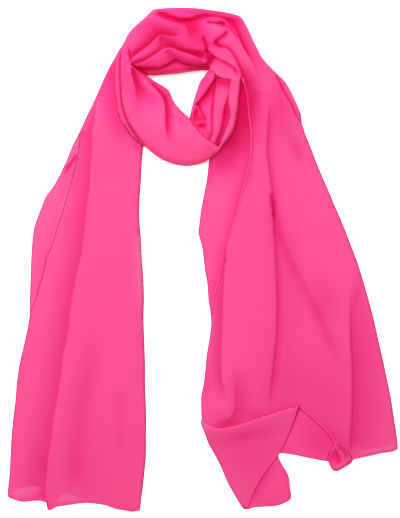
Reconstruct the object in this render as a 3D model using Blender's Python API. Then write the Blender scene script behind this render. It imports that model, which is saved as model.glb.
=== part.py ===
"""A chiffon scarf, wound once round on itself and laid flat.

The cloth runs in one length: up the left tail, round behind the neck, down the right inside of
the loop, across the throat to the left, up and behind the neck a second time, over its own
start at the right shoulder and down the right tail. Every stretch that shows is its own solid.
A stretch has a rounded top, with its pleats and largest folds, and an underside that is flat on
the ground or follows the stretches it lies on. The hidden layers inside a stretch are part of
its solid.

Sizes are in millimetres: x runs to the right, y towards the neck, z up from the ground.
"""

import math

import bmesh
import bpy
import numpy as np
from mathutils import Vector
from mathutils.bvhtree import BVHTree

MM = 0.001
CENTRE_X = 0.75         # middle of the laid scarf, which becomes the origin
CENTRE_Y = -1.0
GAP = 0.3               # clear distance between one stretch and the next
SHARP_EDGE = 40.0       # degrees: faces that meet at less are shaded as one smooth surface
WALL = 1.4              # least thickness of a stretch: two or three layers of chiffon
NOSE = 0.7              # height of a folded edge at its very rim
EDGE_ROLL = 1.6         # how far in from the rim a folded edge reaches its full height
RIM_SHARE = 0.55        # height of a wound stretch's rim, as a share of the height just inside it
WIDEST_ROLL = 0.2       # most of a section's width that one rolled rim takes
HEM_WIDTH = 2.6         # rolled and stitched hem
HEM_SECTION = ((0.0, 0.55), (0.25, 1.35), (0.75, 1.35), (1.0, 0.55))   # share of width, height
HEM_INSET = 3.5         # a panel stops this far inside its hem's outer line
HEM_APPROACH = 10.0     # where a panel starts to come down to its hem
SKY = 200.0             # height from which the lower stretches are felt for

# How far round each point a stretch looks for what it lies on, so that it bridges small steps.
HEM_REACH = 7.0
TIP_REACH = 4.0
FLAP_REACH = 11.0
PANEL_REACH = 12.0
LOOP_REACH = 8.0
BRIDGE_REACH = 10.0     # for the stretches of the loop that step down onto a tail

CHIFFON = (1.0, 0.095, 0.305)
CHIFFON_SHADE = (0.86, 0.05, 0.20)
CHIFFON_HEM = (0.84, 0.13, 0.30)

# The left tail: x of its lines at each y. outer: left rim; pleat: rim of the middle pleat;
# fold: rim of the front panel; trough: the soft hollow in it; inner: right rim.
LEFT_LINES = (
    # y,    outer,  pleat,  fold, trough, inner
    (252.0, -99.0, -95.0, -89.0, -78.0, -60.0),
    (225.0, -112.0, -107.5, -101.0, -86.0, -62.0),
    (200.0, -123.0, -118.5, -112.5, -92.0, -65.0),
    (175.0, -135.0, -131.0, -126.5, -98.0, -68.0),
    (150.0, -148.0, -145.0, -131.5, -101.0, -70.0),
    (125.0, -159.0, -149.5, -132.0, -103.0, -72.0),
    (100.0, -171.0, -155.0, -134.3, -105.0, -73.8),
    (75.0, -187.0, -162.0, -136.5, -107.0, -75.6),
    (50.0, -198.0, -170.0, -139.5, -109.0, -76.0),
    (20.0, -203.5, -179.0, -142.8, -112.0, -74.0),
    (-20.0, -205.5, -192.0, -150.3, -116.0, -71.2),
    (-60.0, -207.0, -203.0, -157.4, -121.0, -70.6),
    (-100.0, -213.0, -209.0, -163.0, -126.5, -70.0),
    (-145.0, -221.5, -216.5, -170.0, -136.0, -69.0),
    (-190.0, -226.8, -221.5, -177.5, -145.5, -68.0),
    (-235.0, -230.0, -225.0, -184.0, -153.0, -68.0),
    (-265.0, -231.8, -227.0, -187.0, -155.5, -71.0),
    (-300.0, -233.0, -228.0, -187.0, -157.0, -75.0),
)
# The hems and the hidden ends of the layers under them: x and y along the outer line of each,
# from left to right.
LEFT_SIDE_HEM = (
    (-231.5, -286.0), (-224.0, -289.0), (-212.0, -291.0), (-202.0, -290.3), (-189.5, -291.8),
)
LEFT_UNDER_END = (
    (-184.0, -281.5), (-157.0, -280.0), (-137.0, -278.5), (-112.0, -281.5), (-72.0, -286.5),
)
LEFT_FRONT_HEM = (
    (-186.5, -297.0), (-182.5, -301.0), (-176.0, -298.5), (-164.0, -296.0), (-150.0, -294.0),
    (-137.0, -293.0), (-126.0, -294.0), (-115.0, -296.0), (-104.0, -300.0), (-93.0, -302.3),
    (-84.0, -303.0), (-76.0, -301.0),
)
UNDER_HEM = ((93.0, -233.0), (109.0, -235.0), (128.0, -239.0), (147.0, -242.5))
RAISED_HEM = (
    (116.5, -179.5), (126.0, -187.0), (138.0, -197.0), (147.0, -206.0), (155.0, -216.0), (161.0, -226.0),
)
RIGHT_HEM = (
    (181.0, -241.0), (187.0, -239.0), (201.0, -236.0), (214.0, -233.0), (229.0, -230.5), (234.6, -228.5),
)
RIGHT_UNDER_END = (
    (0.0, -217.0), (60.0, -232.0), (93.0, -233.0), (128.0, -239.0), (150.0, -241.0), (160.0, -232.0),
    (181.0, -226.5), (201.0, -221.5), (214.0, -218.5), (235.0, -214.0),
)
RIGHT_FRONT_END = (
    (0.0, -213.0), (60.0, -208.0), (104.0, -188.0), (116.0, -182.5), (138.0, -196.5), (155.0, -215.0),
    (162.0, -226.0), (181.0, -241.0), (201.0, -236.0), (229.0, -230.5), (235.0, -228.5),
)
TIP_HEM = (
    (92.0, -236.0), (94.0, -243.0), (98.5, -251.0), (102.5, -260.0), (105.0, -270.0), (106.5, -280.0),
    (106.5, -287.0), (100.0, -292.0), (89.0, -296.0), (76.0, -297.5), (64.0, -298.5),
)
FLAP_HEM = (
    (115.0, -181.0), (112.0, -190.0), (107.0, -203.0), (101.0, -217.0), (94.0, -230.0), (87.0, -242.0),
    (79.0, -253.0), (71.0, -265.0), (63.0, -280.0), (56.0, -296.0),
)
# The free side edge of the right tail's top panel, from the shoulder down to the left rim.
SIDE_HEM = (
    (53.5, 203.0), (58.0, 185.0), (59.5, 165.0), (60.0, 143.0), (57.0, 119.0), (51.0, 93.0),
    (42.0, 60.0), (31.5, 27.0), (24.5, 0.0), (16.8, -31.0), (12.8, -52.0),
)

# The right tail: x of its lines at each y. back: left rim of the under layer; panel: left rim of
# the top panel; lip: first fold; middle: the fold whose left side lies on top; diagonal: soft
# trough; crease: ridge along the right; strip: right rim of the top panel; outer: right rim.
RIGHT_LINES = (
    # y,    back, panel,   lip, middle, diagonal, crease, strip, outer
    (203.0, 20.0, 56.5, 66.0, 78.0, 84.0, 92.0, 98.0, 105.5),
    (185.0, 14.0, 61.0, 69.0, 80.5, 88.0, 99.0, 108.0, 114.0),
    (163.0, 10.0, 62.5, 69.0, 79.8, 90.0, 106.0, 118.0, 120.8),
    (140.0, 9.0, 63.0, 69.0, 78.3, 92.0, 113.0, 124.5, 126.5),
    (119.0, 9.0, 60.0, 67.0, 78.6, 94.0, 121.0, 134.0, 136.0),
    (93.0, 6.0, 54.2, 62.0, 82.0, 96.0, 131.0, 146.0, 147.8),
    (60.0, -0.5, 45.5, 53.0, 86.0, 98.0, 143.0, 160.5, 162.3),
    (27.0, -3.0, 35.0, 40.0, 86.5, 101.0, 155.0, 174.5, 176.5),
    (0.0, 2.0, 28.3, 31.0, 88.0, 108.0, 165.0, 185.0, 187.0),
    (-32.0, 7.0, 20.5, 26.5, 89.2, 123.0, 174.0, 193.5, 195.3),
    (-62.0, 9.8, 14.0, 25.0, 90.0, 138.0, 177.5, 201.5, 203.0),
    (-100.0, 8.5, 11.0, 22.8, 88.8, 157.0, 179.5, 211.0, 212.5),
    (-132.0, 4.0, 6.5, 22.3, 85.2, 167.0, 180.5, 218.0, 219.8),
    (-166.0, -1.0, 1.5, 27.0, 82.0, 168.0, 179.5, 225.0, 226.5),
    (-200.0, 1.5, 4.0, 30.0, 80.0, 168.0, 178.5, 230.0, 231.5),
    (-235.0, 1.5, 4.0, 30.0, 80.0, 168.0, 177.5, 234.0, 235.5),
)

# Heights of the top across each tail panel: the line it is measured from, or two lines and the
# share of the way between them; how far to the right of it; how high over what the panel lies on.
LEFT_SIDE_PROFILE = (
    ("outer", 0.0, NOSE), ("outer", EDGE_ROLL, 1.6), ("pleat", -0.6, 1.5), ("pleat", 1.2, 2.5),
    ("fold", 1.0, 2.2), ("trough", 0.0, 2.2), (("trough", "inner", 0.25), 0.0, 2.2),
    (("trough", "inner", 0.55), 0.0, 2.2), (("trough", "inner", 0.85), 0.0, 2.2),
    ("inner", -EDGE_ROLL, 2.0), ("inner", 0.0, NOSE),
)
LEFT_FRONT_PROFILE = (
    ("fold", 0.0, NOSE), ("fold", EDGE_ROLL, 2.6), (("fold", "trough", 0.4), 0.0, 3.0),
    (("fold", "trough", 0.8), 0.0, 1.7), (("trough", "inner", 0.1), 0.0, 1.9),
    (("trough", "inner", 0.35), 0.0, 2.8), (("trough", "inner", 0.8), 0.0, 2.6),
    ("inner", -EDGE_ROLL, 2.0), ("inner", 0.0, NOSE),
)
RIGHT_BACK_PROFILE = (
    ("back", 0.0, NOSE), ("back", EDGE_ROLL, 1.6), ("panel", 0.0, 1.8), ("middle", 0.0, 2.0),
    (("middle", "diagonal", 0.2), 0.0, 2.0), (("middle", "diagonal", 0.5), 0.0, 2.0),
    (("middle", "diagonal", 0.8), 0.0, 2.0), ("diagonal", 0.0, 2.0), ("crease", 0.0, 2.0),
    (("crease", "outer", 0.4), 0.0, 2.0), (("crease", "outer", 0.7), 0.0, 2.0),
    ("outer", -EDGE_ROLL, 1.6), ("outer", 0.0, NOSE),
)
RIGHT_FRONT_PROFILE = (
    ("panel", 0.5, NOSE), ("panel", 1.9, WALL), ("lip", -0.4, 1.7), ("lip", 1.4, 3.0),
    (("lip", "middle", 0.8), 0.0, 3.0), ("middle", -1.2, 3.8), ("middle", 1.2, 1.6),
    ("diagonal", 0.0, 2.0), ("crease", -3.0, 3.6), ("crease", 3.0, 1.9),
    (("crease", "strip", 0.6), 0.0, 2.2), ("strip", -EDGE_ROLL, 1.8), ("strip", 0.0, NOSE),
)

# The wound stretches, a row for each section: the two rims in plan, then the height of the top
# near the inner rim, at its crest and near the outer rim.
THROAT_ROWS = (
    # inner x, y,    outer x, y,    inner, crest, outer height
    (15.5, 136.5, 15.5, 126.0, 13.0, 13.5, 10.0),
    (8.0, 142.0, 6.0, 118.5, 16.0, 18.0, 8.0),
    (-4.0, 154.0, -6.0, 113.8, 17.0, 20.0, 7.0),
    (-16.0, 169.0, -22.0, 112.2, 16.0, 21.0, 7.0),
    (-28.0, 181.0, -38.0, 115.8, 15.0, 21.5, 7.0),
    (-36.0, 194.0, -54.0, 124.2, 15.0, 22.0, 7.5),
    (-46.0, 206.0, -71.0, 137.0, 16.0, 22.5, 9.5),
    (-59.0, 215.0, -85.0, 156.5, 18.0, 23.0, 11.5),
    (-71.0, 222.5, -93.0, 178.0, 20.0, 24.0, 13.0),
    (-79.0, 227.5, -97.0, 202.0, 22.0, 24.5, 14.0),
    (-83.5, 230.5, -97.5, 224.0, 23.0, 24.5, 14.5),
    (-85.5, 233.5, -97.0, 241.0, 22.5, 24.0, 14.5),
)
BAND_ROWS = (
    (-85.3, 236.0, -96.5, 250.0, 21.5, 24.0, 14.0),
    (-83.5, 238.0, -91.5, 265.5, 19.0, 24.5, 13.5),
    (-80.0, 238.0, -83.0, 276.0, 17.0, 25.0, 13.0),
    (-74.0, 236.0, -72.0, 284.0, 15.0, 25.5, 13.0),
    (-66.0, 233.0, -60.5, 295.3, 14.0, 26.0, 12.0),
    (-54.0, 232.0, -49.0, 299.6, 14.0, 26.0, 12.0),
    (-40.0, 235.0, -35.0, 300.7, 14.0, 26.0, 12.0),
    (-26.0, 237.0, -21.0, 300.9, 14.0, 25.0, 12.0),
    (-12.0, 233.5, -6.0, 300.1, 14.0, 23.0, 12.0),
    (1.0, 234.5, 10.0, 298.3, 13.0, 20.0, 12.0),
    (12.0, 243.0, 25.0, 295.8, 12.0, 17.0, 12.0),
    (23.0, 250.0, 37.0, 293.2, 12.0, 16.0, 12.0),
    (34.0, 251.0, 47.5, 288.0, 12.0, 15.0, 12.0),
    (42.0, 245.0, 54.5, 276.5, 11.0, 14.0, 11.0),
    (50.0, 236.0, 62.0, 261.5, 11.0, 13.0, 10.0),
    (57.0, 228.0, 70.0, 245.5, 10.0, 12.0, 9.0),
    (63.0, 220.0, 80.5, 231.0, 9.5, 11.0, 8.0),
    (68.0, 211.5, 93.0, 219.5, 9.0, 10.0, 7.5),
    (70.0, 203.5, 104.0, 203.5, 8.5, 9.0, 7.5),
)
BAND_UNDER_ROWS = (
    (-74.0, 225.5, -76.0, 234.0, 7.0, 8.0, 8.0),
    (-65.0, 220.6, -64.0, 235.0, 7.0, 9.0, 9.0),
    (-50.0, 222.3, -50.0, 238.0, 8.0, 10.0, 10.0),
    (-33.0, 223.4, -32.0, 242.0, 8.0, 10.5, 10.0),
    (-16.0, 225.3, -15.0, 242.0, 8.0, 10.5, 10.0),
    (0.0, 227.0, 2.0, 243.0, 8.0, 10.0, 10.0),
    (7.5, 228.5, 9.0, 243.0, 8.0, 10.0, 10.0),
)
TURN_ROWS = (
    (12.5, 238.5, 35.0, 231.0, 14.0, 18.5, 16.0),
    (9.0, 227.0, 43.0, 221.5, 12.0, 18.0, 15.0),
    (3.0, 218.5, 44.8, 212.0, 10.0, 16.5, 14.5),
    (-4.0, 207.5, 45.0, 202.5, 9.0, 15.5, 14.5),
    (-8.5, 194.0, 44.6, 192.0, 9.0, 15.0, 14.5),
    (-11.5, 181.5, 43.3, 180.5, 9.0, 14.5, 14.5),
    (-14.5, 168.5, 41.2, 167.5, 8.5, 13.5, 14.0),
    (-10.0, 158.0, 37.5, 154.8, 8.0, 12.5, 13.0),
    (-2.0, 149.0, 32.3, 145.0, 8.0, 11.5, 12.0),
    (6.0, 141.5, 26.5, 137.5, 8.0, 10.5, 10.5),
    (13.0, 134.0, 20.3, 130.3, 7.5, 9.0, 8.0),
)
STRIP_ROWS = (
    (-90.0, 246.0, -100.0, 247.5, 12.0, 13.0, 11.0),
    (-89.0, 231.0, -102.2, 230.0, 12.0, 13.0, 11.0),
    (-89.0, 214.0, -104.2, 212.0, 11.5, 12.5, 10.5),
    (-89.0, 198.0, -104.0, 196.0, 11.0, 12.0, 10.0),
    (-86.0, 184.0, -101.7, 181.0, 10.0, 11.5, 9.0),
    (-82.0, 174.0, -98.5, 167.5, 9.5, 11.0, 8.5),
    (-76.0, 162.0, -92.0, 156.0, 9.0, 10.5, 8.0),
    (-70.0, 153.0, -83.0, 145.8, 8.5, 9.5, 7.5),
    (-64.5, 145.5, -73.5, 137.8, 8.0, 8.5, 7.0),
)
COVER_ROWS = (
    (0.6, 268.5, 0.0, 280.0, 26.0, 27.0, 26.0),
    (4.0, 259.0, 7.5, 287.8, 27.0, 29.5, 26.0),
    (8.5, 251.0, 20.0, 287.8, 27.0, 31.0, 26.0),
    (15.0, 242.5, 31.0, 281.5, 26.0, 31.5, 25.0),
    (24.0, 238.5, 39.5, 272.0, 25.0, 31.0, 24.0),
    (33.0, 233.5, 46.0, 260.5, 24.0, 30.0, 22.0),
    (41.0, 226.0, 52.0, 249.0, 22.0, 28.0, 19.0),
    (46.5, 216.5, 60.0, 236.5, 18.0, 24.0, 16.0),
    (51.0, 211.0, 67.0, 223.5, 15.0, 19.0, 14.0),
    (54.0, 203.5, 74.0, 203.5, 12.0, 14.0, 11.5),
)
FLAP_ROWS = (
    (5.0, -207.5, 110.2, -182.5, 3.2, 3.6, 2.2),
    (6.5, -213.0, 108.2, -190.0, 2.8, 3.2, 1.8),
    (10.0, -223.0, 103.0, -203.0, 2.2, 2.6, 1.6),
    (15.5, -233.5, 97.2, -216.0, 2.0, 2.4, 1.6),
    (22.0, -246.0, 90.2, -229.0, 2.0, 2.2, 1.6),
    (29.0, -262.0, 78.7, -248.0, 1.8, 2.2, 1.6),
    (37.0, -277.5, 67.7, -264.5, 1.8, 2.0, 1.6),
    (45.5, -291.0, 59.7, -279.5, 1.6, 1.8, 1.6),
    (50.6, -298.8, 53.6, -292.0, 1.5, 1.5, 1.5),
)
TIP_ROWS = (
    (19.5, -236.5, 88.0, -236.0, 1.4, 1.4, 1.4),
    (24.5, -246.0, 93.7, -250.5, 1.4, 1.4, 1.4),
    (30.0, -258.0, 98.5, -260.5, 1.4, 1.4, 1.4),
    (36.5, -270.0, 101.1, -271.0, 1.4, 1.4, 1.4),
    (43.5, -281.0, 102.4, -282.5, 1.4, 1.4, 1.4),
    (51.0, -290.5, 94.2, -290.5, 1.4, 1.4, 1.4),
    (55.0, -294.5, 75.2, -294.0, 1.4, 1.4, 1.4),
)
# The curl at the corner of the raised hem: a small cone of rolled cloth.
CURL_ROWS = (
    (164.5, -224.0, 171.0, -222.5, 3.0, 4.0, 3.0),
    (160.0, -231.0, 176.5, -231.0, 4.5, 6.0, 4.5),
    (155.5, -240.0, 179.0, -239.5, 5.0, 6.5, 5.0),
    (153.0, -247.0, 174.5, -247.5, 4.0, 5.5, 4.0),
    (158.5, -253.0, 166.0, -253.0, 2.5, 3.0, 2.5),
)

# The largest folds of the wound stretches, as a row for each: where it starts and ends in plan,
# its height over or depth under the crest surface, and its half width.
BAND_FOLDS = (
    # x0, y0, x1, y1, height, half width
    (-84.0, 241.0, -52.0, 268.0, 2.6, 5.0),
    (-52.0, 268.0, -20.0, 270.0, 2.2, 5.0),
    (-80.0, 236.0, -42.0, 253.0, 2.2, 5.0),
    (-42.0, 253.0, 0.0, 242.0, 2.2, 5.0),
    (-56.0, 291.0, -14.0, 284.0, -4.0, 5.0),
    (-14.0, 284.0, 28.0, 286.0, -4.0, 5.0),
    (-84.0, 252.0, -66.0, 258.0, -3.0, 5.0),
    (28.0, 286.0, 52.0, 250.0, -3.0, 5.0),
)
THROAT_FOLDS = (
    (-84.0, 228.0, -78.0, 206.0, -3.0, 5.0),
    (-70.0, 221.0, -47.0, 189.0, -2.6, 5.0),
    (-47.0, 189.0, -42.0, 148.0, -2.2, 6.0),
    (-60.0, 200.0, -56.0, 160.0, 1.5, 8.0),
)
TURN_FOLDS = (
    (16.0, 217.0, 10.0, 148.0, -3.0, 4.5),
    (33.0, 210.0, 16.0, 142.0, -3.5, 4.5),
    (24.0, 208.0, 13.0, 150.0, 1.5, 5.0),
    (-6.0, 186.0, 4.0, 166.0, 1.5, 4.0),
)
COVER_FOLDS = (
    (17.0, 258.0, 34.0, 251.0, -3.5, 4.5),
    (34.0, 251.0, 51.0, 216.0, -3.5, 4.5),
    (30.0, 270.0, 17.0, 259.0, -2.5, 4.0),
    (7.0, 283.0, 26.0, 281.0, -2.5, 3.5),
    (26.0, 281.0, 46.0, 259.0, -2.0, 3.5),
)


def catmull_rom(rows, places):
    """Rows of a table read at fractional places, on a smooth curve through them."""
    rows = np.asarray(rows, float)
    last = len(rows) - 1
    result = []
    for place in places:
        k = min(int(place), last - 1)
        t = place - k
        before = rows[k - 1] if k > 0 else 2 * rows[k] - rows[k + 1]
        after = rows[k + 2] if k + 2 <= last else 2 * rows[k + 1] - rows[k]
        slope_a = (rows[k + 1] - before) / 2
        slope_b = (after - rows[k]) / 2
        rise = rows[k + 1] - rows[k]
        bend = (3 * rise - 2 * slope_a - slope_b) * t**2 + (slope_a + slope_b - 2 * rise) * t**3
        result.append(rows[k] + slope_a * t + bend)
    return np.array(result)


def refined(rows, per_row):
    """A table with per_row sections for each of its rows."""
    last = len(rows) - 1
    return catmull_rom(rows, np.linspace(0, last, last * per_row + 1))


def height_at(x, y, trees):
    """The highest point of the lower stretches over one place, or the ground."""
    best = None
    for tree in trees:
        hit, *_ = tree.ray_cast(Vector((x, y, SKY)), Vector((0, 0, -1)))
        if hit is not None and (best is None or hit.z > best):
            best = hit.z
    return best


def laid_on(x, y, trees, reach):
    """Height of an underside here: the ground, or just over whatever lies within reach."""
    feelers = [(0.0, 0.0)]
    for ring in (0.5, 1.0):
        for turn in range(12):
            angle = math.tau * turn / 12
            feelers.append((ring * reach * math.cos(angle), ring * reach * math.sin(angle)))
    found = [height_at(x + dx, y + dy, trees) for dx, dy in feelers]
    found = [z for z in found if z is not None]
    return max(found) + GAP if found else 0.0


def fold_height(x, y, folds):
    """Sum of the straight folds' soft ridges and troughs at one place."""
    total = 0.0
    for x0, y0, x1, y1, height, half_width in folds:
        run = (x1 - x0) ** 2 + (y1 - y0) ** 2
        along = min(max(((x - x0) * (x1 - x0) + (y - y0) * (y1 - y0)) / run, 0.0), 1.0)
        off = math.hypot(x - x0 - along * (x1 - x0), y - y0 - along * (y1 - y0))
        total += height * math.exp(-((off / half_width) ** 2))
    return total


def material(name, colour):
    made = bpy.data.materials.new(name)
    made.use_nodes = True
    shader = made.node_tree.nodes["Principled BSDF"]
    shader.inputs["Base Color"].default_value = (*colour, 1.0)
    shader.inputs["Roughness"].default_value = 0.75
    shader.inputs["Metallic"].default_value = 0.0
    return made


def solid_between(name, top, under, finish):
    """One closed solid from a grid of top points and the heights of its underside."""
    sections, points = top.shape[:2]
    bm = bmesh.new()

    def vertex(x, y, z):
        return bm.verts.new(((x - CENTRE_X) * MM, (y - CENTRE_Y) * MM, z * MM))

    upper = [[vertex(*p) for p in row] for row in top]
    lower = [[vertex(p[0], p[1], z) for p, z in zip(row, low)] for row, low in zip(top, under)]
    for s in range(sections - 1):
        for k in range(points - 1):
            bm.faces.new((upper[s][k], upper[s][k + 1], upper[s + 1][k + 1], upper[s + 1][k]))
            bm.faces.new((lower[s][k], lower[s + 1][k], lower[s + 1][k + 1], lower[s][k + 1]))
        for k in (0, points - 1):
            bm.faces.new((upper[s][k], upper[s + 1][k], lower[s + 1][k], lower[s][k]))
    for s in (0, sections - 1):
        for k in range(points - 1):
            bm.faces.new((upper[s][k], upper[s][k + 1], lower[s][k + 1], lower[s][k]))
    bmesh.ops.triangulate(bm, faces=bm.faces)
    bmesh.ops.recalc_face_normals(bm, faces=bm.faces)
    mesh = bpy.data.meshes.new(name)
    bm.to_mesh(mesh)
    bm.free()
    mesh.shade_smooth()
    mesh.set_sharp_from_angle(angle=math.radians(SHARP_EDGE))
    mesh.materials.append(finish)
    made = bpy.data.objects.new(name, mesh)
    bpy.context.scene.collection.objects.link(made)
    return made


def tree_of(made):
    """The solid's faces in millimetres of the tables, for laying other stretches on it."""
    points = [
        (v.co.x / MM + CENTRE_X, v.co.y / MM + CENTRE_Y, v.co.z / MM) for v in made.data.vertices
    ]
    return BVHTree.FromPolygons(points, [tuple(p.vertices) for p in made.data.polygons])


def undersides(plan, trees, reach):
    return np.array([[laid_on(x, y, trees, reach) for x, y, *_ in row] for row in plan])


def line_between(table, columns, place):
    """x of a named line at each row of the table, or of one a share of the way between two."""
    if isinstance(place, str):
        return table[:, 1 + columns.index(place)]
    first, second, share = place
    start = table[:, 1 + columns.index(first)]
    return start + share * (table[:, 1 + columns.index(second)] - start)


def panel(name, lines, columns, profile, ends, below, reach, finish):
    """A tail panel: sections across it, with the profile's heights over its underside.

    ends is the outer line that closes the panel, and its sections close up or spread towards it.
    """
    table = np.array(lines)
    top, bottom = table[0, 0], table[-1, 0]
    shares = (top - table[:, 0]) / (top - bottom)
    plan = np.zeros((len(table) + 1, len(profile), 3))
    for k, (column, offset, _) in enumerate(profile):
        line = line_between(table, columns, column) + offset
        end = np.interp(line[-1], *np.array(ends).T)
        places = np.append(top + (end + HEM_APPROACH - top) * shares, end + HEM_INSET)
        plan[:, k, 0] = np.interp(-places, -table[:, 0], line)
        plan[:, k, 1] = places
    trees = [tree_of(o) for o in below]
    under = undersides(plan, trees, reach)
    plan[:, :, 2] = under + np.array([height for *_, height in profile])
    return solid_between(name, plan, under, finish)


def ribbon(name, rows, across, per_row, folds, below, reach, finish):
    """A wound stretch: sections between its two rims, crowned, with its folds and rolled rims."""
    table = refined(rows, per_row)
    shares = np.linspace(0, 1, across)
    plan = np.zeros((len(table), across + 2, 3))
    for s, (ix, iy, ox, oy, inner, crest, outer) in enumerate(table):
        width = math.hypot(ox - ix, oy - iy)
        roll = min(EDGE_ROLL / width, WIDEST_ROLL)
        steps = np.concatenate([[0.0], roll + shares * (1 - 2 * roll), [1.0]])
        for k, share in enumerate(steps):
            x = ix + share * (ox - ix)
            y = iy + share * (oy - iy)
            side = inner if share < 0.5 else outer
            crown = side + (crest - side) * math.sin(math.pi * share)
            plan[s, k] = x, y, crown + fold_height(x, y, folds)
    trees = [tree_of(o) for o in below]
    under = undersides(plan, trees, reach)
    plan[:, :, 2] = np.maximum(plan[:, :, 2], under + WALL)
    for rim, next_in in ((0, 1), (-1, -2)):
        plan[:, rim, 2] = under[:, rim] + (plan[:, next_in, 2] - under[:, rim]) * RIM_SHARE
    return solid_between(name, plan, under, finish)


def hem(name, line, side, below, finish):
    """A rolled hem: a flat rod inside its line. side is 1 with the panel on the line's left hand
    and -1 with it on the right."""
    path = refined(line, 2)
    heading = np.gradient(path, axis=0)
    heading /= np.linalg.norm(heading, axis=1)[:, None]
    inward = np.stack([-heading[:, 1], heading[:, 0]], axis=1) * side
    plan = np.zeros((len(path), len(HEM_SECTION), 3))
    for k, (share, _) in enumerate(HEM_SECTION):
        plan[:, k, :2] = path + inward * share * HEM_WIDTH
    trees = [tree_of(o) for o in below]
    under = undersides(plan, trees, HEM_REACH)
    under[:] = under.max(axis=1)[:, None]
    plan[:, :, 2] = under + np.array([height for _, height in HEM_SECTION])
    return solid_between(name, plan, under, finish)


def build_left_tail(cloth, shade, edge):
    columns = ("outer", "pleat", "fold", "trough", "inner")
    side_end = LEFT_SIDE_HEM + LEFT_UNDER_END
    side = panel(
        "left_tail_side", LEFT_LINES, columns, LEFT_SIDE_PROFILE, side_end, (), PANEL_REACH, shade
    )
    front = panel(
        "left_tail_front", LEFT_LINES, columns, LEFT_FRONT_PROFILE, LEFT_FRONT_HEM, (side,),
        PANEL_REACH, cloth,
    )
    hem("left_side_hem", LEFT_SIDE_HEM, 1, (), edge)
    hem("left_front_hem", LEFT_FRONT_HEM, 1, (), edge)
    return side, front


def build_right_tail(cloth, shade, edge):
    columns = ("back", "panel", "lip", "middle", "diagonal", "crease", "strip", "outer")
    back = panel(
        "right_tail_under", RIGHT_LINES, columns, RIGHT_BACK_PROFILE, RIGHT_UNDER_END, (),
        PANEL_REACH, shade,
    )
    front = panel(
        "right_tail_front", RIGHT_LINES, columns, RIGHT_FRONT_PROFILE, RIGHT_FRONT_END, (back,),
        PANEL_REACH, cloth,
    )
    tip = ribbon("tail_tip", TIP_ROWS, 5, 1, (), (back,), TIP_REACH, shade)
    hem("tip_hem", TIP_HEM[::-1], 1, (), edge)
    hem("under_hem", UNDER_HEM, 1, (), edge)
    ribbon("hem_curl", CURL_ROWS, 5, 2, (), (back, front), LOOP_REACH, cloth)
    hem("right_hem", RIGHT_HEM, 1, (back,), edge)
    hem("raised_hem", RAISED_HEM, 1, (back, front), edge)
    ribbon("tail_flap", FLAP_ROWS, 8, 2, (), (back, front, tip), FLAP_REACH, cloth)
    hem("flap_hem", FLAP_HEM, -1, (back, front, tip), edge)
    hem("side_hem", SIDE_HEM, 1, (back,), edge)
    return back, front


def build_loop(tails, cloth, shade):
    turn = ribbon("inner_turn", TURN_ROWS, 9, 2, TURN_FOLDS, tails, LOOP_REACH, shade)
    under = ribbon("neck_band_under", BAND_UNDER_ROWS, 4, 1, (), tails, BRIDGE_REACH, shade)
    strip = ribbon("loop_strip", STRIP_ROWS, 4, 1, (), tails, BRIDGE_REACH, cloth)
    lower = tails + (turn, under, strip)
    throat = ribbon("throat_loop", THROAT_ROWS, 9, 2, THROAT_FOLDS, lower, LOOP_REACH, cloth)
    band = ribbon("neck_band", BAND_ROWS, 9, 2, BAND_FOLDS, lower, BRIDGE_REACH, cloth)
    above = lower + (throat, band)
    ribbon("shoulder_cover", COVER_ROWS, 8, 2, COVER_FOLDS, above, LOOP_REACH, cloth)


def main():
    for old in list(bpy.data.objects):
        bpy.data.objects.remove(old, do_unlink=True)
    cloth = material("chiffon", CHIFFON)
    shade = material("chiffon_under", CHIFFON_SHADE)
    edge = material("chiffon_hem", CHIFFON_HEM)
    left = build_left_tail(cloth, shade, edge)
    right = build_right_tail(cloth, shade, edge)
    build_loop(left + right, cloth, shade)


main()
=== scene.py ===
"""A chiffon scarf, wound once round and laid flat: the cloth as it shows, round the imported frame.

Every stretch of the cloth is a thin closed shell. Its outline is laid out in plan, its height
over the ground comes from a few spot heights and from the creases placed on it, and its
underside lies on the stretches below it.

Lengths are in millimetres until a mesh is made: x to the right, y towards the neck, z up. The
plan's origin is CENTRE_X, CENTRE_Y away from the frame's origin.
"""

from __future__ import annotations

import logging
import math
from dataclasses import dataclass
from enum import Enum
from functools import partial
from typing import Any, Callable, ClassVar

import bmesh
import bpy
import numpy as np
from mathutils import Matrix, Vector
from mathutils.geometry import delaunay_2d_cdt
from mathutils.kdtree import KDTree

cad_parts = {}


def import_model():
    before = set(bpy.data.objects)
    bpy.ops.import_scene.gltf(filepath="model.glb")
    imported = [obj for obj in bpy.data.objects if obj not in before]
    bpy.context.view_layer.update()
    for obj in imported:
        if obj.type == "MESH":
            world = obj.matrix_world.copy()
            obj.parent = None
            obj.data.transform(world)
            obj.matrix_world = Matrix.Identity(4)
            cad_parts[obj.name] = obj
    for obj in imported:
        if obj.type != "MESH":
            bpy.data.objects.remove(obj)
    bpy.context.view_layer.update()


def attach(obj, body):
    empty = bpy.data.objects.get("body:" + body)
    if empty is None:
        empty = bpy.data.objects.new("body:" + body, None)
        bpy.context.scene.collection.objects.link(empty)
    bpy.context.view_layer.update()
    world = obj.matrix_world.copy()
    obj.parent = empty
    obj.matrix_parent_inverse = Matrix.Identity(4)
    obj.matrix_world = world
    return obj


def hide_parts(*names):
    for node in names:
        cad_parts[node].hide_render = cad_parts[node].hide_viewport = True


LOG = logging.getLogger("scarf")

Line = tuple[tuple[float, float], ...]
Spots = tuple[tuple[float, float, float], ...]
Socket = bpy.types.NodeSocket
AddNode = Callable[..., Socket | None]

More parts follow.
